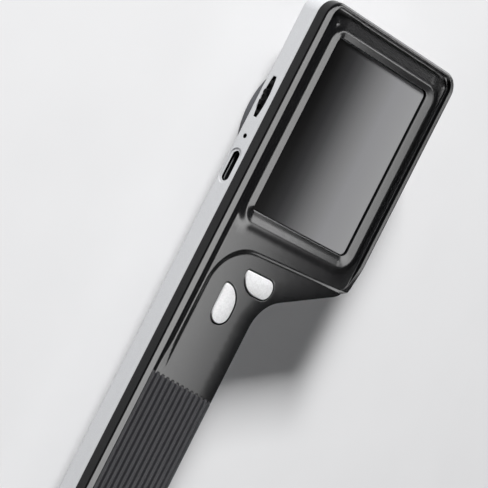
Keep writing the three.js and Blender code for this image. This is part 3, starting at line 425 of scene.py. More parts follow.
def front_level(x, y):
    """Height of the front casing's surface."""
    edge = inside(CASE, x, y)
    inner = inside(RIM_INNER, x, y)
    window = -inside(WINDOW, x, y)
    crown = inside(FRAME, x, y)
    mask = rim_mask(x, y)
    case_sides = side_shares(CASE, x, y)
    frame_sides = side_shares(WINDOW, x, y)

    def of_side(values, shares, least=-math.inf):
        return np.maximum(sum(value * share for value, share in zip(values, shares)), least)

    # The floor, the thumb recess below it and the valley beside the left rim
    taper = fade(x - CREASE_X, *CREASE_TAPER)
    crease = CREASE_ARC_WIDTH + (CREASE_WIDTH - CREASE_ARC_WIDTH) * taper
    share = np.clip(crease_inside(x, y) / crease, 0, 1)
    recess = np.maximum(share * share * (3 - 2 * share), fade(y, *LEDGE_FADE) * (x < HANDLE_WIDTH / 2))
    shoulder_share = np.clip((SHOULDER_WIDTH - edge) / SHOULDER_WIDTH, 0, 1)
    thumb = -THUMB_DROP - SHOULDER_DROP * (1 - np.sqrt(1 - shoulder_share**2)) * (1 - mask)
    base = -FLOOR_DROP + (thumb + FLOOR_DROP) * recess
    valley_top = base + VALLEY_CORNER_RISE * fade(y, *VALLEY_CORNER_FADE)
    valley = softer_of(base + VALLEY_SLOPE * (inner - VALLEY_WIDTH), valley_top, VALLEY_ROUND, 1)
    valley_share = np.where(y > -HEAD_LENGTH / 2, 1.0, case_sides[0])
    base = base + (valley - base) * valley_share * mask * (x < HANDLE_WIDTH / 2) * (inner > 0)
    base = base - TOP_FLOOR_DROP * fade(y, *TOP_FLOOR_FADE) * mask

    # The screen frame, the keys' openings and the grip's seat
    lean = of_side(FRAME_LEAN, frame_sides)
    slope = of_side(FRAME_SLOPE, frame_sides, LEAST_WIDTH)
    blend = of_side(FRAME_ROUND, frame_sides, LEAST_BLEND)
    top = np.minimum(lean, 0) - FRAME_DROP
    share = np.clip(window / np.maximum(window + crown, 1e-6), 0, 1)
    share = np.where(crown > 0, share, 1)
    raised = softer_of(top - lean * (1 - share), top + slope * crown, blend, 1)
    base = softer_of(raised, base, blend, -1) - quarter(window, WINDOW_EDGE_ROUND)
    for outline in KEYS.values():
        gap = -within(grown(outline, KEY_GAP), x, y)
        base = base - quarter(gap, KEY_GAP_ROUND)
    seat = within(seat_polygon(GRIP_GAP), x, y)
    base = base - SEAT_DROP * np.clip(seat / WALL_RUN, 0, 1)

    # The rim and its foot
    lean = of_side(RIM_LEAN, case_sides)
    share = np.clip(edge / np.maximum(edge - inner, 1e-6), 0, 1)
    top = np.minimum(lean, 0) - lean * share - quarter(-inner, RIM_INNER_ROUND)
    foot_width = of_side(RIM_FOOT_WIDTH, case_sides, LEAST_WIDTH)
    foot = base + quarter(inner - WALL_RUN, foot_width, of_side(RIM_FOOT_HEIGHT, case_sides))
    wall_share = np.clip(inner / WALL_RUN, 0, 1)
    rim = np.where(inner < WALL_RUN, top + (foot - top) * wall_share, foot)
    edge_round = of_side(RIM_EDGE_ROUND, case_sides, LEAST_WIDTH)
    level = base * (1 - mask) + rim * mask - quarter(edge, edge_round) * mask
    return np.maximum(RIM_TOP + level, PARTING + LEAST_HEIGHT)


def front_under(x, y):
    """Height of the front casing's underside: its lower edge, and the plate inside it."""
    edge = inside(CASE, x, y)
    ceiling = np.where(y > CREASE_Y + WALL, RIM_TOP - FLOOR_DROP, RIM_TOP - THUMB_DROP) - PLATE
    plate = np.minimum(front_level(x, y) - PLATE, ceiling)
    share = np.clip((edge - WALL) / WALL_RUN, 0, 1)
    return PARTING + (np.maximum(plate, PARTING) - PARTING) * share


def surface_normals(level, x, y, reach=0.01):
    """Unit normals of a height function."""
    slope_x = (level(x + reach, y) - level(x - reach, y)) / (2 * reach)
    slope_y = (level(x, y + reach) - level(x, y - reach)) / (2 * reach)
    normals = np.column_stack((-slope_x, -slope_y, np.ones(len(x))))
    return normals / np.linalg.norm(normals, axis=1)[:, None]


def plate_mesh(loops, filler, keep, upper, lower):
    """A closed plate between two height functions: points, faces and a normal for each face corner. The
    loops are drawn lines that its edges follow, and keep tells which spots are material."""
    points, lines = [], []
    for loop, closed in loops:
        start = len(points)
        points += [tuple(point) for point in loop]
        last = len(loop) if closed else len(loop) - 1
        lines += [(start + i, start + (i + 1) % len(loop)) for i in range(last)]
    points += [tuple(point) for point in filler]
    flat, _, triangles, *_ = delaunay_2d_cdt([Vector(point) for point in points], lines, [], 0, 1e-5)
    flat = np.array([tuple(point) for point in flat])
    triangles = np.array(triangles)
    middle = flat[triangles].mean(axis=1)
    triangles = triangles[keep(middle[:, 0], middle[:, 1])]
    used, renumbered = np.unique(triangles, return_inverse=True)
    flat, triangles = flat[used], renumbered.reshape(-1, 3)
    count = len(flat)
    x, y = flat[:, 0], flat[:, 1]
    vertices = np.concatenate((np.column_stack((x, y, upper(x, y))), np.column_stack((x, y, lower(x, y)))))
    top_normals = surface_normals(upper, x, y)
    edges = {(a, b) for tri in triangles for a, b in ((tri[0], tri[1]), (tri[1], tri[2]), (tri[2], tri[0]))}
    border = [(a, b) for a, b in edges if (b, a) not in edges]
    faces = [tuple(tri) for tri in triangles] + [tuple(tri[::-1] + count) for tri in triangles]
    normals = [top_normals[i] for tri in triangles for i in tri]
    normals += [np.array((0.0, 0.0, -1.0))] * (3 * len(triangles))
    outward = np.zeros((count, 2))
    for a, b in border:
        run = unit(flat[b] - flat[a])
        outward[a] += (run[1], -run[0])
        outward[b] += (run[1], -run[0])
    outward /= np.maximum(np.linalg.norm(outward, axis=1), 1e-9)[:, None]
    for a, b in border:
        faces.append((b, a, a + count, b + count))
        normals += [(*outward[i], 0.0) for i in (b, a, a, b)]
    return vertices, faces, normals

def crease_curve(step):
    """A line beside the crease, a step inside it: from the right edge, round its corner and down the left."""
    radius = CREASE_ROUND - step
    angles = np.linspace(math.pi / 2, math.pi, 16)
    curve = [(CREASE_X + CREASE_ROUND + radius * math.cos(a), radius * math.sin(a) - CREASE_ROUND)
             for a in angles]
    right = np.arange(CREASE_X + CREASE_ROUND, HEAD_WIDTH + 2, LOOP_SPACING)[1:]
    left = np.arange(-CREASE_ROUND, LEDGE_FADE[1] - CREASE_Y - 2, -LOOP_SPACING)[1:]
    line = np.array([(x, -step) for x in right[::-1]] + curve + [(CREASE_X + step, y) for y in left])
    line[:, 1] += crease_line(line[:, 0])
    return line


def filler_points():
    """Points for the wide surfaces, clear of the bands in which the loops lie."""
    edge_band, frame_band, seat_band, crease_band, key_band = WALL + 0.7, 3.2, 0.8, 0.4, 1.4
    rim_middle, rim_band = 1.6, 2.4
    grid = np.mgrid[0:HEAD_WIDTH:LOOP_SPACING, -TOTAL_LENGTH:0:LOOP_SPACING].reshape(2, -1).T
    grid[:, 0] += np.where(np.round(grid[:, 1] / LOOP_SPACING) % 2 == 0, 0, LOOP_SPACING / 2)
    x, y = grid.T
    clear = (inside(CASE, x, y) > edge_band) & (abs(inside(RIM_INNER, x, y) - rim_middle) > rim_band)
    clear &= (inside(FRAME, x, y) < -frame_band) & (within(seat_polygon(), x, y) < -seat_band)
    clear &= abs(crease_inside(x, y) - CREASE_ARC_WIDTH / 2) > CREASE_ARC_WIDTH / 2 + crease_band
    for outline in KEYS.values():
        clear &= within(grown(outline, key_band), x, y) < 0
    return grid[clear]


def front_casing():
    """The front casing, with its loops closest together where its surface bends."""
    edge_steps = (0, 0.01, 0.03, 0.06, 0.1, 0.16, 0.24, 0.33, 0.43, 0.55, 0.7, 0.9, 1.1, WALL,
                  WALL + WALL_RUN)
    rim_steps = (-RIM_INNER_ROUND, -0.13, -0.08, -0.04, -0.015, 0, WALL_RUN, 0.04, 0.08, 0.15, 0.25, 0.37,
                 0.55, 0.8, 1.1, 1.4)
    window_steps = (0, 0.02, 0.05, 0.1, WINDOW_EDGE_ROUND)
    crown_shares = (0.25, 0.45, 0.6, 0.72, 0.82, 0.9, 0.96)
    slope_steps = (0, 0.1, 0.2, 0.35, 0.55, 0.8, 1.1, 1.4, 1.7, 1.9, 2.05, 2.2, 2.35, 2.6)
    key_steps = (0, 0.02, 0.05, 0.1, 0.17, KEY_GAP_ROUND, 0.7)
    valley_steps = (1.8, 2.2, 2.6, 2.9, 3.05, 3.15, 3.23, VALLEY_WIDTH, 3.37, 3.45, 3.6)
    valley_run = np.arange(-66.0, LEFT_RIM_FADE[1], -LOOP_SPACING)
    seat_steps = (-0.08, -WALL_RUN, 0, 0.06)
    loops = [(ring(CASE, step), True) for step in edge_steps]
    loops += [(ring(RIM_INNER, step), True) for step in rim_steps]
    loops += [(ring(WINDOW, -step), True) for step in window_steps]
    loops += [(ring(frame_outline(share)), True) for share in crown_shares]
    loops += [(ring(FRAME, -step), True) for step in slope_steps]
    loops += [(grown(outline, KEY_GAP + step), True) for outline in KEYS.values() for step in key_steps]
    loops += [(crease_curve(step), False) for step in np.linspace(0, CREASE_ARC_WIDTH, 13)]
    loops += [(np.array([(left_rim + step, y) for y in valley_run]), False) for step in valley_steps]
    loops += [(seat_polygon(GRIP_GAP + step), True) for step in seat_steps]
    holes = [grown(outline, KEY_GAP) for outline in KEYS.values()]

    def keep(x, y):
        solid = (inside(CASE, x, y) > 0) & (inside(WINDOW, x, y) < 0)
        for hole in holes:
            solid &= within(hole, x, y) < 0
        return solid

    return plate_mesh(loops, filler_points(), keep, front_level, front_under)


# Making objects

SHARP_ANGLE = math.radians(35)


def into_scene(name, data):
    """An object in the scene that shows a mesh, lamp or camera."""
    made = bpy.data.objects.new(name, data)
    bpy.context.scene.collection.objects.link(made)
    return made


def new_mesh(name, points, faces):
    """A mesh from points in metres."""
    mesh = bpy.data.meshes.new(name)
    mesh.from_pydata([tuple(point) for point in points], [], [tuple(map(int, face)) for face in faces])
    return mesh


def new_object(name, vertices, faces, normals=None):
    """An object from points in the casing's millimetres."""
    mesh = new_mesh(name, to_row(vertices), faces)
    mesh.shade_smooth()
    if normals is None:
        mesh.set_sharp_from_angle(angle=SHARP_ANGLE)
    else:
        mesh.normals_split_custom_set([tuple(map(float, normal)) for normal in normals])
    return into_scene(name, mesh)


def settle(piece, body, slot, *nodes, finish=None):
    """Coats a piece with its slot's finish or another, puts it under its body, and hides the nodes it stands
    for.
    """
    coat(piece, finish or FINISHES[slot])
    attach(piece, body)
    if nodes:
        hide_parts(*nodes)


def loft(rings, closed=False):
    """Faces through rings of equally many points, the first to the last; open ends get flat caps."""
    count = len(rings[0])
    vertices = np.concatenate(rings)
    faces = []
    spans = len(rings) if closed else len(rings) - 1
    for i in range(spans):
        a, b = i * count, ((i + 1) % len(rings)) * count
        faces += [(a + j, a + (j + 1) % count, b + (j + 1) % count, b + j) for j in range(count)]
    if not closed:
        faces.append(tuple(range(count))[::-1])
        faces.append(tuple(range(len(vertices) - count, len(vertices))))
    return vertices, faces


def flat_ring(points, z):
    """Points (x, y) at one height."""
    return np.column_stack((points, np.full(len(points), z)))


def rectangle(x, y, half_x, half_y):
    """A rectangle's corners, counterclockwise."""
    low_x, high_x, low_y, high_y = x - half_x, x + half_x, y - half_y, y + half_y
    return [(low_x, low_y), (high_x, low_y), (high_x, high_y), (low_x, high_y)]


def quarter_round(count, width, height=None):
    """Steps over a rounded edge from its wall to its top: (how far inwards, how far below the top)."""
    height = width if height is None else height
    angles = np.linspace(0, math.pi / 2, count)
    return [(width * (1 - math.cos(a)), height * (1 - math.sin(a))) for a in angles]


def turned(name, profile, sides=96, x=LENS_X, y=LENS_Y):
    """An object from a closed profile of (radius, height), counterclockwise seen with the radius to the
    right, turned about an upright line. Points on the line become one point."""
    angles = np.linspace(0, 2 * math.pi, sides, endpoint=False)
    vertices, rows = [], []
    for radius, height in profile:
        if radius < 1e-6:
            rows.append([len(vertices)] * sides)
            vertices.append((x, y, height))
        else:
            rows.append(list(range(len(vertices), len(vertices) + sides)))
            vertices += [(x + radius * math.cos(a), y + radius * math.sin(a), height) for a in angles]
    faces = []
    for row, following in zip(rows, rows[1:] + rows[:1]):
        for j in range(sides):
            k = (j + 1) % sides
            corners = [row[j], row[k], following[k], following[j]]
            face = [c for i, c in enumerate(corners) if c != corners[i - 1]]
            if len(set(face)) > 2:
                faces.append(tuple(face))
    return new_object(name, np.array(vertices), faces)


def rounded_profile(profile, rounds, steps=5):
    """A profile of (radius, height) corners with some of them rounded."""
    points = []
    for i, corner in enumerate(profile):
        here = np.array(corner, float)
        radius = rounds.get(i, 0)
        if not radius:
            points.append(here)
            continue
        before = unit(np.array(profile[i - 1], float) - here)
        after = unit(np.array(profile[(i + 1) % len(profile)], float) - here)
        start, end = here + before * radius, here + after * radius
        for j in range(steps + 1):
            t = j / steps
            points.append(start * (1 - t) ** 2 + here * 2 * t * (1 - t) + end * t * t)
    return points


def apply_modifiers(piece):
    """Makes the result of a piece's modifiers its own mesh."""
    evaluated = piece.evaluated_get(bpy.context.evaluated_depsgraph_get())
    mesh = bpy.data.meshes.new_from_object(evaluated)
    piece.modifiers.clear()
    piece.data = mesh
    return piece


def cut_away(piece, cutters):
    """Takes cutters out of a piece and deletes them."""
    for cutter in cutters:
        step = piece.modifiers.new("cut", "BOOLEAN")
        step.operation = "DIFFERENCE"
        step.solver = "EXACT"
        step.object = cutter
    apply_modifiers(piece)
    for cutter in cutters:
        bpy.data.objects.remove(cutter)
    return piece


def soften(piece):
    """Smooth shading that keeps flat faces flat and edges crisp."""
    piece.data.shade_smooth()
    piece.data.set_sharp_from_angle(angle=SHARP_ANGLE)
    step = piece.modifiers.new("normals", "WEIGHTED_NORMAL")
    step.keep_sharp = True
    return apply_modifiers(piece)


# Materials

# Noise is nearly always between these values
NOISE_RANGE = (0.3, 0.7)


def linear(code):
    """An sRGB hex value as linear colour."""
    values = [int(code[i:i + 2], 16) / 255 for i in (1, 3, 5)]
    return (*[v / 12.92 if v <= 0.04045 else ((v + 0.055) / 1.055) ** 2.4 for v in values], 1.0)


def add(tree, kind, inputs, stops=()):
    """A node; an input is a value, or an output that is linked to it. A colour ramp also has its stops, as
    (place, hex colour) in rising order."""
    node = tree.nodes.new(kind)
    for name, value in inputs.items():
        if isinstance(value, bpy.types.NodeSocket):
            tree.links.new(value, node.inputs[name])
        else:
            node.inputs[name].default_value = value
    for i, (place, code) in enumerate(stops):
        elements = node.color_ramp.elements
        element = elements[i] if i < 2 else elements.new(place)
        element.position = place
        element.color = linear(code)
    return node


def bare_material(name):
    """A material without nodes, and its tree."""
    material = bpy.data.materials.new(name)
    material.use_nodes = True
    material.node_tree.nodes.clear()
    return material, material.node_tree


def start_material(name, surface):
    """A material with only its shader, and the object's own coordinates in millimetres."""
    material, tree = bare_material(name)
    shader = add(tree, "ShaderNodeBsdfPrincipled", surface)
    add(tree, "ShaderNodeOutputMaterial", {"Surface": shader.outputs["BSDF"]})
    place = add(tree, "ShaderNodeTexCoord", {})
    scaled = add(tree, "ShaderNodeMapping", {"Vector": place.outputs["Object"], "Scale": (1 / MM,) * 3})
    return material, tree, shader, scaled.outputs["Vector"]


def grained(name, surface, tones, gloss, bump, grain, gloss_grain=None, bump_grain=None):
    """A surface in two close tones, whose roughness varies between two values, with a bump of (strength,
    depth in millimetres). A grain is (size of its features in millimetres, finer layers in them)."""
    material, tree, shader, place = start_material(name, surface)
    tone, sheen, height = [
        add(tree, "ShaderNodeTexNoise", {"Vector": place, "Scale": 1 / size, "Detail": layers}).outputs["Fac"]
        for size, layers in (grain, gloss_grain or grain, bump_grain or grain)]
    colour = add(tree, "ShaderNodeValToRGB", {"Fac": tone}, list(zip(NOISE_RANGE, tones)))
    rough = add(tree, "ShaderNodeMapRange", {
        "Value": sheen, "From Min": NOISE_RANGE[0], "From Max": NOISE_RANGE[1],
        "To Min": gloss[0], "To Max": gloss[1]})
    dents = add(tree, "ShaderNodeBump", {"Height": height, "Strength": bump[0], "Distance": bump[1] * MM})
    tree.links.new(colour.outputs["Color"], shader.inputs["Base Color"])
    tree.links.new(rough.outputs["Result"], shader.inputs["Roughness"])
    tree.links.new(dents.outputs["Normal"], shader.inputs["Normal"])
    return material


def moulded_abs(name, tones, roughness, specular=0.28):
    """ABS moulded in a fine-blasted tool: an even satin sheen with a grain of a quarter of a millimetre
    (the real grain is finer; it is drawn as coarse as shows) and cloudy differences in gloss."""
    surface = {"IOR": 1.53, "Specular IOR Level": specular}
    gloss = (roughness - 0.01, roughness + 0.015)
    return grained(name, surface, tones, gloss, (0.15, 0.004), (9.0, 2), (2.5, 3), (0.22, 2))


def speckled(name, tones, roughness, grain, depth=0.006, **surface):
    """A plain moulded, printed or foamed surface: two close tones in specks of its real grain, and bump."""
    gloss = (roughness, roughness + 0.08)
    return grained(name, {"IOR": 1.5, **surface}, tones, gloss, (0.2, depth), (grain, 2))


def window_with_painted_reflection():
    """Polished acrylic over a switched-off display, with a painted reflection: its base colour is a grey
    gradient along x, nearly black at its printed border and towards its left and growing lighter to the
    right, while the acrylic itself reflects almost nothing."""
    surface = {"IOR": 1.49, "Roughness": 0.12, "Specular IOR Level": 0.01}
    material, tree, shader, place = start_material("acrylic_window_painted_reflection", surface)
    parts = add(tree, "ShaderNodeSeparateXYZ", {"Vector": place})
    share = add(tree, "ShaderNodeMapRange", {
        "Value": parts.outputs["X"], "From Min": LEFT + glass_low[0], "From Max": LEFT + glass_high[0]})
    # Painted reflection: this ramp paints the grey gradient that stands in for what the pane would reflect
    sheen = add(tree, "ShaderNodeValToRGB", {"Fac": share.outputs["Result"]}, [
        (0.0, "#050505"), (0.1, "#151515"), (0.23, "#2e2e2f"), (0.33, "#444445"), (0.42, "#5b5b5c"),
        (0.52, "#6f6f70"), (0.62, "#7d7d7e"), (0.72, "#88888a"), (1.0, "#929293")])
    tree.links.new(sheen.outputs["Color"], shader.inputs["Base Color"])
    return material


def glass_with_painted_coating_reflection():
    """Ground and polished optical glass with a bloomed coating, whose faint violet-green reflection is
    painted into the base colour and shifts with how squarely the glass faces the camera.
    """
    surface = {"IOR": 1.52, "Roughness": 0.03, "Transmission Weight": 0.6}
    material, tree, shader, _ = start_material("optical_glass_painted_reflection", surface)
    # Painted reflection: the coating's reflection colour is painted into the base colour by how squarely each
    # spot faces the camera
    facing = add(tree, "ShaderNodeLayerWeight", {"Blend": 0.35})
    painted_reflection_tint = add(tree, "ShaderNodeValToRGB", {"Fac": facing.outputs["Facing"]}, [
        (0.0, "#26323a"), (0.5, "#3f5a58"), (1.0, "#5d4a73")])
    tree.links.new(painted_reflection_tint.outputs["Color"], shader.inputs["Base Color"])
    return material


# The finish of each material slot. A speckled one has two tones, a roughness and the size of its specks.
FINISHES = {
    "black_plastic": moulded_abs("moulded_black_abs", ("#09090a", "#0d0d0e"), 0.21),
    "dark_plastic": moulded_abs("moulded_black_acetal", ("#060607", "#0a0a0b"), 0.45, 0.1),
    "hood_plastic": moulded_abs("moulded_grey_abs", ("#47484b", "#4f5054"), 0.45),
    "window_glass": window_with_painted_reflection(),
    "lens_glass": glass_with_painted_coating_reflection(),
    # Silver paint sprayed over ABS: fine metal flakes in a satin lacquer, a little cloudy, with no grain
    # direction. Flakes are 0.05 mm and are drawn at 0.12 mm so that they show.
    "silver_paint": grained(
        "sprayed_silver_paint", {"IOR": 1.5, "Metallic": 0.25, "Coat Weight": 0.15, "Coat Roughness": 0.3},
        ("#acadaf", "#bebfc1"), (0.4, 0.46), (0.12, 0.004), (0.12, 1), (5.0, 2)),
    # Thermoplastic rubber moulded in ribs: dull, with dust-fine pitting of 0.15 mm and slightly paler crests
    "grip_rubber": grained(
        "moulded_rubber", {"IOR": 1.5, "Specular IOR Level": 0.2},
        ("#171719", "#212124"), (0.5, 0.62), (0.3, 0.01), (0.15, 3)),
    # Pale ABS moulded with a fine spark texture: matt, faintly mottled in specks of 0.5 mm
    "key_plastic": grained(
        "moulded_pale_abs", {"IOR": 1.53}, ("#bdbdbe", "#cfcfd0"), (0.42, 0.55), (0.35, 0.02), (0.55, 3)),
    # Nickel-plated steel, turned or drawn: bright, with a fine grain of 0.08 mm
    "steel": grained(
        "plated_steel", {"Metallic": 1.0}, ("#a9acb0", "#c7cace"), (0.26, 0.38), (0.1, 0.004), (0.08, 2)),
    "frosted": speckled("moulded_frosted_polycarbonate", ("#dfe4e6", "#eef2f3"), 0.45, 0.3, IOR=1.58),
    "lcd": speckled("laminated_display_glass", ("#33363b", "#3d4147"), 0.15, 0.4),
    "amber_film": speckled("etched_polyimide_film", ("#9c6115", "#bb7a22"), 0.4, 0.3),
    "board": speckled("solder_masked_laminate", ("#0f4527", "#175a35"), 0.42, 0.5),
    "led": speckled("moulded_led_package", ("#ece8d2", "#f6f3e4"), 0.3, 0.2),
    "battery_foil": speckled("laminated_pouch_foil", ("#a4a8ac", "#b8bcc0"), 0.3, 0.9, Metallic=0.8),
    "foam": speckled("cut_adhesive_foam", ("#2f2f2f", "#454545"), 0.85, 0.35, depth=0.05),
    "red_lead": speckled("extruded_red_insulation", ("#96191a", "#ad2424"), 0.4, 0.25),
    "black_lead": speckled("extruded_black_insulation", ("#111112", "#1a1a1b"), 0.4, 0.25),
}
BLACK_STEEL = speckled("black_plated_drawn_steel", ("#1c1c1e", "#29292b"), 0.4, 0.12, Metallic=0.8)
GOLD = speckled("plated_gold_contacts", ("#b98f3c", "#cda552"), 0.25, 0.2, Metallic=1.0)


def coat(piece, finish):
    """Gives a piece one finish all over."""
    piece.data.materials.clear()
    piece.data.materials.append(finish)


for subpart in frame["record"]["subparts"]:
    coat(frame["nodes"][subpart["node"]], FINISHES[subpart["material_slot"]])


# Pieces

settle(new_object("front_casing", *front_casing()), "case", "black_plastic", "front_shell")

# Openings in the left wall, and what sits at the back
EYE_LENGTH = 12.6
EYE_HEIGHT = 2.6
EYE_END = 1.3
PORT_Y = (socket_low[1] + socket_high[1]) / 2
PORT_HALF_LENGTH = (socket_high[1] - socket_low[1]) / 2
PORT_HALF_HEIGHT = (socket_high[2] - socket_low[2]) / 2
PORT_LIP = 0.75
PORT_LIP_DEPTH = 0.35
PIN_Y = (reset_low[1] + reset_high[1]) / 2
PIN_RADIUS = 0.7
SCREWS = [f"case_screw_{i}" for i in range(1, 7)]
SCREW_HEAD_RADIUS = 1.8
SCREW_RECESS_RADIUS = 2.05
HOOD_RADIUS = (hood_high[0] - hood_low[0]) / 2
HOOD_GAP = 0.25
HOOD_SEAT_DEPTH = 0.8
HOOD_BORE_INSET = 2.5
BACK_ROUND = 0.9
SEAM_ROUND = 0.3
BACK_SPACING = 6.0

# How far a cutter reaches past what it cuts
CLEAR = 1.0
RECESS_CLEAR = 0.05


def stadium(y, z, half_length, half_height, steps=12):
    """Points (y, z) of a slot with round ends, counterclockwise seen from outside the left wall."""
    points = []
    for side in (1, -1):
        for j in range(steps + 1):
            angle = math.pi * (j / steps - side / 2)
            points.append((y + side * (half_length - half_height) + half_height * math.cos(angle),
                           z + half_height * math.sin(angle)))
    return np.array(points)


def port_outline(margin, steps=12):
    """The charging port's outline, moved out by a margin."""
    return stadium(PORT_Y, SIDE_LINE, PORT_HALF_LENGTH + margin, PORT_HALF_HEIGHT + margin, steps)


def pin_outline(margin):
    """The pinhole's outline, moved out by a margin: a circle whose halves lie a hair apart."""
    radius, hair = PIN_RADIUS + margin, 0.001
    return stadium(PIN_Y, SIDE_LINE, radius + hair, radius)


def eye_slot(margin):
    """The wheel's slot: two bulging sides between two short ends."""
    bulge = 2 * (EYE_HEIGHT - EYE_END)
    upper = [(WHEEL_Y + EYE_LENGTH * (0.5 - t), SIDE_LINE + EYE_END / 2 + bulge * t * (1 - t))
             for t in np.linspace(0, 1, 25)]
    lower = [(2 * WHEEL_Y - y, 2 * SIDE_LINE - z) for y, z in upper]
    return grown(np.array(upper + lower), margin)


def across_wall(name, sections, closed=False):
    """An object that runs along x, through sections of (x, points (y, z))."""
    rings = [np.column_stack((np.full(len(points), x), points)) for x, points in sections]
    return new_object(name, *loft(rings, closed))


def flared(name, outline_at, depth, flare=0.12):
    """A cutter through the left wall whose mouth is flared, which leaves a small chamfer."""
    return across_wall(name, [
        (-CLEAR, outline_at(flare + CLEAR)), (0.0, outline_at(flare)), (flare, outline_at(0.0)),
        (depth, outline_at(0.0))])


def disc_cutter(name, radius, top, sides, x=LENS_X, y=LENS_Y):
    """A round cutter from below the back up to a height."""
    low = BACK_FACE - CLEAR
    return turned(name, [(0, low), (radius, low), (radius, top), (0, top)], sides, x, y)


def back_casing():
    """The back casing: a rounded back edge, straight walls with their openings, the hood's seat and the
    screws' recesses."""
    floor = BACK_FACE + WALL
    steps = [(inset, BACK_FACE + drop) for inset, drop in reversed(quarter_round(8, BACK_ROUND))]
    steps += [(inset, SEAM_TOP - drop) for inset, drop in quarter_round(4, SEAM_ROUND)]
    steps += [(WALL, SEAM_TOP), (WALL, floor)]
    rings = [flat_ring(ring(CASE, inset, BACK_SPACING), z) for inset, z in steps]
    casing = new_object("back_casing", *loft(rings))
    cutters = [
        disc_cutter("hood_seat", HOOD_RADIUS + HOOD_GAP, BACK_FACE + HOOD_SEAT_DEPTH, 128),
        disc_cutter("hood_bore", HOOD_RADIUS - HOOD_BORE_INSET, floor + CLEAR, 128),
        flared("wheel_slot", eye_slot, WALL + CLEAR / 2),
        flared("port_hole", port_outline, WALL + CLEAR),
        flared("port_lip", lambda margin: port_outline(PORT_LIP + margin), PORT_LIP_DEPTH),
        flared("pin_hole", pin_outline, WALL + CLEAR, 0.08),
    ]
    for name in SCREWS:
        x, y, _ = sum(extent(name)) / 2
        cutters.append(disc_cutter(name + "_recess", SCREW_RECESS_RADIUS, floor + RECESS_CLEAR, 48, x, y))
    return soften(cut_away(casing, cutters))


settle(back_casing(), "case", "silver_paint", "back_shell")


def opening_liner(name, outline_at, start):
    """The unpainted black wall of an opening, as a thin sleeve."""
    outer, inner = outline_at(-0.01), outline_at(-0.07)
    return across_wall(name, [(start, outer), (WALL, outer), (WALL, inner), (start, inner)], closed=True)


for liner in (("port_wall", port_outline, PORT_LIP_DEPTH + 0.1), ("wheel_slot_wall", eye_slot, 0.15),
              ("pinhole_wall", pin_outline, 0.12)):
    settle(opening_liner(*liner), "case", "black_plastic")


def rib_end(distance):
    """How high a rib stands near its end, as a share of its height."""
    share = np.clip((distance - RIB_END_START) / RIB_END_ROUND, 0, 1)
    return np.sqrt(1 - (1 - share) ** 2)


def grip():
    """The ribbed insert: a sheet that follows the handle's top and right shoulder, with rounded ribs whose
    ends are rounded too."""
    count = len(GRIP_BASE)
    ends = RIB_END_START + RIB_END_ROUND * (1 - np.cos(np.linspace(0, math.pi / 2, 6)))
    steps = np.concatenate(([0, 0.12], ends, np.linspace(1.6, 66.0, 30)))
    foot = np.full(count, GRIP_END)
    rows = []
    for reach in steps:
        y = foot if reach == steps[-1] else np.maximum(GRIP_UPPER_EDGE - reach, GRIP_END)
        proud = RIB_HEIGHT * GRIP_RIB * rib_end(reach) * rib_end(y - GRIP_END)
        point = GRIP_BASE + GRIP_OUTWARD * proud[:, None]
        rows.append(np.column_stack((point[:, 0], y, point[:, 1])))
    under = GRIP_BASE - GRIP_OUTWARD * GRIP_THICKNESS
    under_level = np.maximum(under[:, 1], grip_low[2] - 0.2)
    rows += [np.column_stack((under[:, 0], y, under_level)) for y in (foot, GRIP_UPPER_EDGE)]
    starts = [i * count for i in range(len(rows))]
    faces = [(a + j, b + j, b + j + 1, a + j + 1)
             for a, b in zip(starts, starts[1:] + starts[:1]) for j in range(count - 1)]
    faces += [tuple(starts[::-1]), tuple(start + count - 1 for start in starts)]
    return new_object("grip", np.concatenate(rows), faces)


settle(grip(), "case", "grip_rubber", "grip_insert")


def key_cap(name):
    """A drop-shaped key: rounded edges and a low dome."""
    outline = KEYS[name]
    low, high = extent(name)
    foot, edge, dome, dome_power = 0.6, 0.3, 0.3, 2.2
    rings = [flat_ring(outline, low[2] + foot)]
    rings += [flat_ring(grown(outline, -inset), high[2] - dome - drop)
              for inset, drop in quarter_round(7, edge)]
    rim = grown(outline, -edge)
    centre = rim.mean(axis=0)
    rings += [flat_ring(centre + (rim - centre) * share, high[2] - dome * share**dome_power)
              for share in np.linspace(1, 0, 9)[1:-1]]
    vertices, faces = loft(rings)
    vertices = np.concatenate((vertices, [(*centre, high[2])]))
    top = faces.pop()
    faces += [(a, b, len(vertices) - 1) for a, b in zip(top, top[1:] + top[:1])]
    return new_object(name + "_cap", vertices, faces)


for name in KEYS:
    settle(key_cap(name), name, "key_plastic", name)


def window_pane():
    """The acrylic pane: flat, with a small bevel round its face."""
    bevel = 0.25
    steps = [(0, glass_low[2])] + [(inset, glass_high[2] - drop) for inset, drop in quarter_round(5, bevel)]
    rings = [flat_ring(ring(WINDOW, WINDOW_GAP + inset), z) for inset, z in steps]
    return soften(new_object("window_pane", *loft(rings)))


settle(window_pane(), "case", "window_glass", "screen_glass")


def lens_hood():
    """The round hood: a moulded ring with a rounded rim, a light trap inside and its seat on the back."""
    outer, inner = HOOD_RADIUS, HOOD_RADIUS - 2.0
    seat_top = BACK_FACE + HOOD_SEAT_DEPTH - HOOD_GAP
    spigot, spigot_inner = outer - HOOD_BORE_INSET - HOOD_GAP, outer - 4.1
    floor, floor_top, top, bore = 9.35, 10.9, 12.7, 9.85
    profile = [
        (inner, 0), (outer, 0), (outer, seat_top), (spigot, seat_top), (spigot, top), (spigot_inner, top),
        (spigot_inner, floor_top), (bore, floor_top), (bore, floor), (inner, floor),
    ]
    shaped = rounded_profile(profile, {0: 0.35, 1: 0.6, 2: 0.15}, 6)
    return turned("hood", shaped, 160)


settle(lens_hood(), "case", "hood_plastic", "lens_hood")

# The wheel's teeth reach a little further than half its box, as none points straight along the box
WHEEL_TIP = (wheel_high[0] - wheel_low[0]) / 2 + 0.06
WHEEL_TEETH = 20
TOOTH_DEPTH = 1.3
TOOTH_STEPS = 12


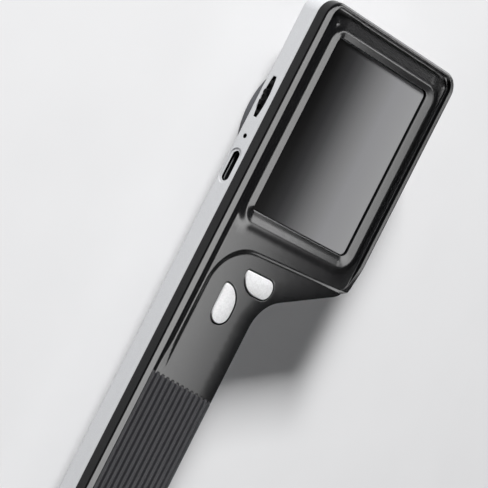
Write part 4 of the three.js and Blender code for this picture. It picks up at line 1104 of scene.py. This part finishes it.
def toothed(limit):
    """Points round the wheel's rounded teeth, none further out than the limit. A tooth points at the ring."""
    phase = math.atan2(LENS_Y - WHEEL_Y, LENS_X - WHEEL_X)
    turns = 2 * math.pi * np.arange(WHEEL_TEETH * TOOTH_STEPS) / TOOTH_STEPS
    steepness, offset = 0.8, 0.5
    rise = np.clip(steepness * np.cos(turns) + offset, 0, 1)
    reach = np.minimum(WHEEL_TIP - TOOTH_DEPTH + TOOTH_DEPTH * rise, limit)
    angles = phase + turns / WHEEL_TEETH
    return np.column_stack((WHEEL_X + reach * np.cos(angles), WHEEL_Y + reach * np.sin(angles)))


def thumbwheel():
    """The wheel: rounded teeth, an edge that falls away above and below, and its bore."""
    crown, bevel, bore = 1.2, 0.5, 1.25
    low, high = wheel_low[2], wheel_high[2]
    rings = [flat_ring(toothed(WHEEL_TIP - inset), low + drop)
             for inset, drop in reversed(quarter_round(6, crown, bevel))]
    rings += [outline * (1, 1, -1) + (0, 0, low + high) for outline in rings[::-1]]
    rings += [flat_ring(toothed(bore), high), flat_ring(toothed(bore), low)]
    return new_object("thumbwheel", *loft(rings, closed=True))


settle(thumbwheel(), "thumbwheel", "dark_plastic", "focus_thumbwheel")


def lens_barrel():
    """The barrel: a bevelled mouth, baffle steps down to the aperture and the rear seat."""
    low, high = extent("lens_barrel")
    outer = (high[0] - low[0]) / 2
    mouth, aperture, rear, ledge = 6.6, 2.6, 4.7, 1.2
    bevel, baffle, steps = 0.25, 0.6, 4
    front, back = low[2], high[2]
    seat, rear_seat = front + 2.3, back - 3.4
    profile = [(mouth, front), (outer - bevel, front), (outer, front + bevel), (outer, back), (rear, back),
               (rear, rear_seat), (aperture, rear_seat), (aperture, seat + baffle)]
    for i in range(steps):
        reach = aperture + (mouth - ledge - aperture) * (i + 1) / steps
        profile += [(reach, seat + baffle * (1 - i / steps)), (reach, seat + baffle * (1 - (i + 1) / steps))]
    profile.append((mouth, seat))
    return turned("barrel", profile)


def polished_lens(name, dome_up):
    """A lens with one flat face and one bulging face, its edge finely bevelled."""
    low, high = extent(name)
    radius = (high[0] - low[0]) / 2
    bulge, bevel = 0.6, 0.1
    side = 1 if dome_up else -1
    flat, edge = (low[2], high[2] - bulge) if dome_up else (high[2], low[2] + bulge)
    profile = [(0, flat), (radius - bevel, flat), (radius, flat + side * bevel),
               (radius, edge - side * bevel / 2)]
    profile += [(radius - bevel - inset, edge + side * (bulge - drop))
                for inset, drop in quarter_round(14, radius - bevel, bulge)]
    return turned(name + "_glass", profile[::side])


def retaining_ring():
    """A thin threaded ring with two slots for a spanner."""
    low, high = extent("lens_retaining_ring")
    outer = (high[0] - low[0]) / 2
    width, bevel, slot, slot_depth = 1.0, 0.08, 0.5, 0.2
    inner = outer - width
    profile = [(inner, low[2] + bevel), (inner + bevel, low[2]), (outer - bevel, low[2]),
               (outer, low[2] + bevel), (outer, high[2]), (inner, high[2])]
    made = turned("retaining_ring", profile)
    plan = rectangle(LENS_X, LENS_Y, outer + CLEAR, slot / 2)
    rings = [flat_ring(plan, low[2] - CLEAR), flat_ring(plan, low[2] + slot_depth)]
    return soften(cut_away(made, [new_object("spanner_slots", *loft(rings))]))


settle(lens_barrel(), "lens_cell", "dark_plastic", "lens_barrel")
settle(polished_lens("front_lens", False), "lens_cell", "lens_glass", "front_lens")
settle(polished_lens("rear_lens", True), "lens_cell", "lens_glass", "rear_lens")
settle(retaining_ring(), "lens_cell", "dark_plastic", "lens_retaining_ring")


def diffuser():
    """The frosted ring over the lights, with rounded edges and a shallow moulded groove in its lower face."""
    low, high = extent("led_diffuser")
    outer = (high[0] - low[0]) / 2
    inner, lip, slope, groove = 9.85, 1.0, 0.3, 0.2
    profile = [(inner, low[2]), (inner + lip, low[2]), (inner + lip + slope, low[2] + groove),
               (outer - lip - slope, low[2] + groove), (outer - lip, low[2]), (outer, low[2]),
               (outer, high[2]), (inner, high[2])]
    return turned("diffuser", rounded_profile(profile, {0: 0.15, 5: 0.15}), 128)


settle(diffuser(), "case", "frosted", "led_diffuser")


def case_screw(name):
    """A pan-head screw in its recess: domed head, cross slot and shank."""
    low, high = extent(name)
    x, y = (low[0] + high[0]) / 2, (low[1] + high[1]) / 2
    head, head_height, dome_height, shank = SCREW_HEAD_RADIUS, 1.0, 0.35, 0.9
    profile = [(head - inset, low[2] + drop) for inset, drop in reversed(quarter_round(9, head, dome_height))]
    profile += [(head, low[2] + head_height), (shank, low[2] + head_height), (shank, high[2]), (0, high[2])]
    made = turned(name + "_head", profile, 40, x, y)
    arm, half, narrowing, depth = head * 0.62, 0.25, 0.8, 0.55
    cutters = []
    for across, along in ((arm, half), (half, arm)):
        mouth = flat_ring(rectangle(x, y, across, along), low[2] - CLEAR / 2)
        end = flat_ring(rectangle(x, y, across * narrowing, along * narrowing), low[2] + depth)
        cutters.append(new_object("cross_arm", *loft([mouth, end])))
    return soften(cut_away(made, cutters))


for name in SCREWS:
    settle(case_screw(name), "case", "steel", name)


def charging_socket():
    """The drawn metal shell of the port, with a rolled mouth and a closed inner end."""
    wall, roll = 0.3, 0.12
    front, back = socket_low[0], socket_high[0]
    steps = [(back - wall, wall)]
    steps += [(front + roll * (1 - math.sin(a)), wall / 2 * (1 - math.cos(a)))
              for a in np.linspace(math.pi, 0, 9)]
    steps.append((back, 0))
    return across_wall("socket_shell", [(x, port_outline(-inset, 16)) for x, inset in steps])


def charging_tongue():
    """The socket's tongue with rounded front corners."""
    low, high = extent("usb_c_tongue")
    edge, front_round, back_round = 0.12, 0.5, 0.05
    plan = rounded([(low[0], low[1], front_round), (high[0], low[1], back_round),
                    (high[0], high[1], back_round), (low[0], high[1], front_round)])
    steps = [(edge, low[2]), (0, low[2] + edge), (0, high[2] - edge), (edge, high[2])]
    return new_object("tongue", *loft([flat_ring(ring(plan, inset), z) for inset, z in steps]))


def tongue_contacts():
    """Twelve gold-plated contacts on each side of the tongue."""
    low, high = extent("usb_c_tongue")
    width, height, length, count, pitch, setback = 0.28, 0.03, 3.2, 12, 0.5, 0.5
    vertices, faces = [], []
    for bottom in (low[2] - height, high[2]):
        for i in range(count):
            y = PORT_Y + (i - (count - 1) / 2) * pitch
            plan = rectangle(low[0] + setback + length / 2, y, length / 2, width / 2)
            points, sides = loft([flat_ring(plan, bottom), flat_ring(plan, bottom + height)])
            faces += [tuple(len(vertices) + corner for corner in side) for side in sides]
            vertices += list(points)
    return new_object("tongue_contacts", vertices, faces)


settle(charging_socket(), "case", "steel", "usb_c_socket", finish=BLACK_STEEL)
settle(charging_tongue(), "case", "dark_plastic", "usb_c_tongue")
settle(tongue_contacts(), "case", "steel", finish=GOLD)


def reset_pin():
    """The reset plunger with a domed end, seen down the pinhole."""
    middle = (PIN_Y, (reset_low[2] + reset_high[2]) / 2)
    radius = (reset_high[2] - reset_low[2]) / 2
    dome, tip_radius = 0.2, 0.05 * radius
    around = np.linspace(0, 2 * math.pi, 32, endpoint=False)
    circle = np.column_stack((np.cos(around), np.sin(around)))
    steps = [(reset_low[0] + drop, max(radius - inset, tip_radius))
             for inset, drop in reversed(quarter_round(7, radius, dome))]
    steps.append((reset_high[0], radius))
    return across_wall("reset_pin", [(x, circle * reach + middle) for x, reach in steps])


settle(reset_pin(), "reset_button", "dark_plastic", "reset_plunger")


# Stage, light and camera

FLOOR_SIZE = 4.0
FLOOR_LEVEL = -0.0002
MIDDLE = Vector((0.0, 0.0, 0.018))

floor_corners = [(x, y, 0) for x, y in rectangle(0, 0, FLOOR_SIZE, FLOOR_SIZE)]
floor = into_scene("floor", new_mesh("floor", floor_corners, [range(4)]))
floor.location.z = FLOOR_LEVEL
floor.data.materials.append(speckled(
    "painted_studio_floor", ("#dfdfe0", "#e1e1e2"), 0.6, 30.0, depth=0.0, **{"Specular IOR Level": 0.0}))


def soft_light(name, place, width, height, radiance, seen_in):
    """A rectangular lamp of an even radiance, aimed at the object, that only lights dull surfaces or is only
    seen in shiny ones."""
    data = bpy.data.lights.new(name, "AREA")
    data.shape = "RECTANGLE"
    data.size, data.size_y = width, height
    data.energy = radiance * math.pi * width * height
    lamp = into_scene(name, data)
    lamp.location = Vector(place)
    lamp.rotation_euler = (MIDDLE - lamp.location).to_track_quat("-Z", "Y").to_euler()
    lamp.visible_camera = False
    lamp.visible_diffuse = seen_in == "dull"
    lamp.visible_glossy = seen_in == "shiny"


def soft_card(name, corners, height, bright, dim=None, reach=(100, 130)):
    """A level card that is only seen in shiny surfaces, and dims from one place along x to another. Its
    corners are in millimetres."""
    glow, tree = bare_material(name)
    place = add(tree, "ShaderNodeTexCoord", {})
    across = add(tree, "ShaderNodeSeparateXYZ", {"Vector": place.outputs["Object"]})
    strength = add(tree, "ShaderNodeMapRange", {
        "Value": across.outputs["X"], "From Min": reach[0] * MM, "From Max": reach[1] * MM,
        "To Min": bright, "To Max": dim or bright})
    shader = add(tree, "ShaderNodeEmission", {"Strength": strength.outputs["Result"]})
    add(tree, "ShaderNodeOutputMaterial", {"Surface": shader.outputs["Emission"]})
    points = [(x * MM, y * MM, height * MM) for x, y in corners]
    card = into_scene(name, new_mesh(name, points, [range(len(points))]))
    card.data.materials.append(glow)
    card.visible_camera = card.visible_diffuse = card.visible_shadow = card.visible_transmission = False


soft_light("key_light", (-1.042, 1.805, 0.972), 0.5, 0.5, 142.0, "dull")
soft_light("overhead", (0.0, 0.0, 1.2), 1.0, 1.0, 0.35, "dull")
soft_card("gradient_card", [
    (40, -300), (148, -300), (148, 20), (130, 75), (118, 130), (40, 130)], 170, 10.6, 6.8)
soft_card("crest_card", [(125, 110), (182, 110), (215, 136), (215, 158), (125, 158)], 170, 10.8)
soft_light("back_strip", (0.46, 0.52, 0.17), 0.35, 0.3, 9.0, "shiny")
soft_light("low_strip", (0.45, -0.44, 0.11), 0.25, 0.2, 5.0, "shiny")

world = bpy.data.worlds.new("studio")
bpy.context.scene.world = world
world.use_nodes = True
background = world.node_tree.nodes["Background"].inputs
background["Color"].default_value = linear("#f4f5f7")
background["Strength"].default_value = 0.1
bpy.context.scene.view_settings.view_transform = "Standard"

# The camera looks from the left at 45.5 degrees from straight above, rolled so that the handle leans
TARGET = Vector((-18.56, 23.67, 21.3)) * MM
DISTANCE = 0.64
TILT = math.radians(45.5)
ROLL = math.radians(26.93)
FOCAL_LENGTH = 168.2
SENSOR_WIDTH = 36
towards = Vector((-math.sin(TILT), 0, math.cos(TILT)))
level_right = Vector((math.cos(TILT), 0, math.sin(TILT)))
up = Vector((0, 1, 0))
right = math.cos(ROLL) * level_right + math.sin(ROLL) * up
upward = -math.sin(ROLL) * level_right + math.cos(ROLL) * up
camera = into_scene("camera", bpy.data.cameras.new("camera"))
camera.data.lens = FOCAL_LENGTH
camera.data.sensor_width = SENSOR_WIDTH
camera.data.clip_start, camera.data.clip_end = 0.01, 20
axes = Matrix((right, upward, towards)).transposed().to_4x4()
camera.matrix_world = Matrix.Translation(TARGET + towards * DISTANCE) @ axes
bpy.context.scene.camera = camera
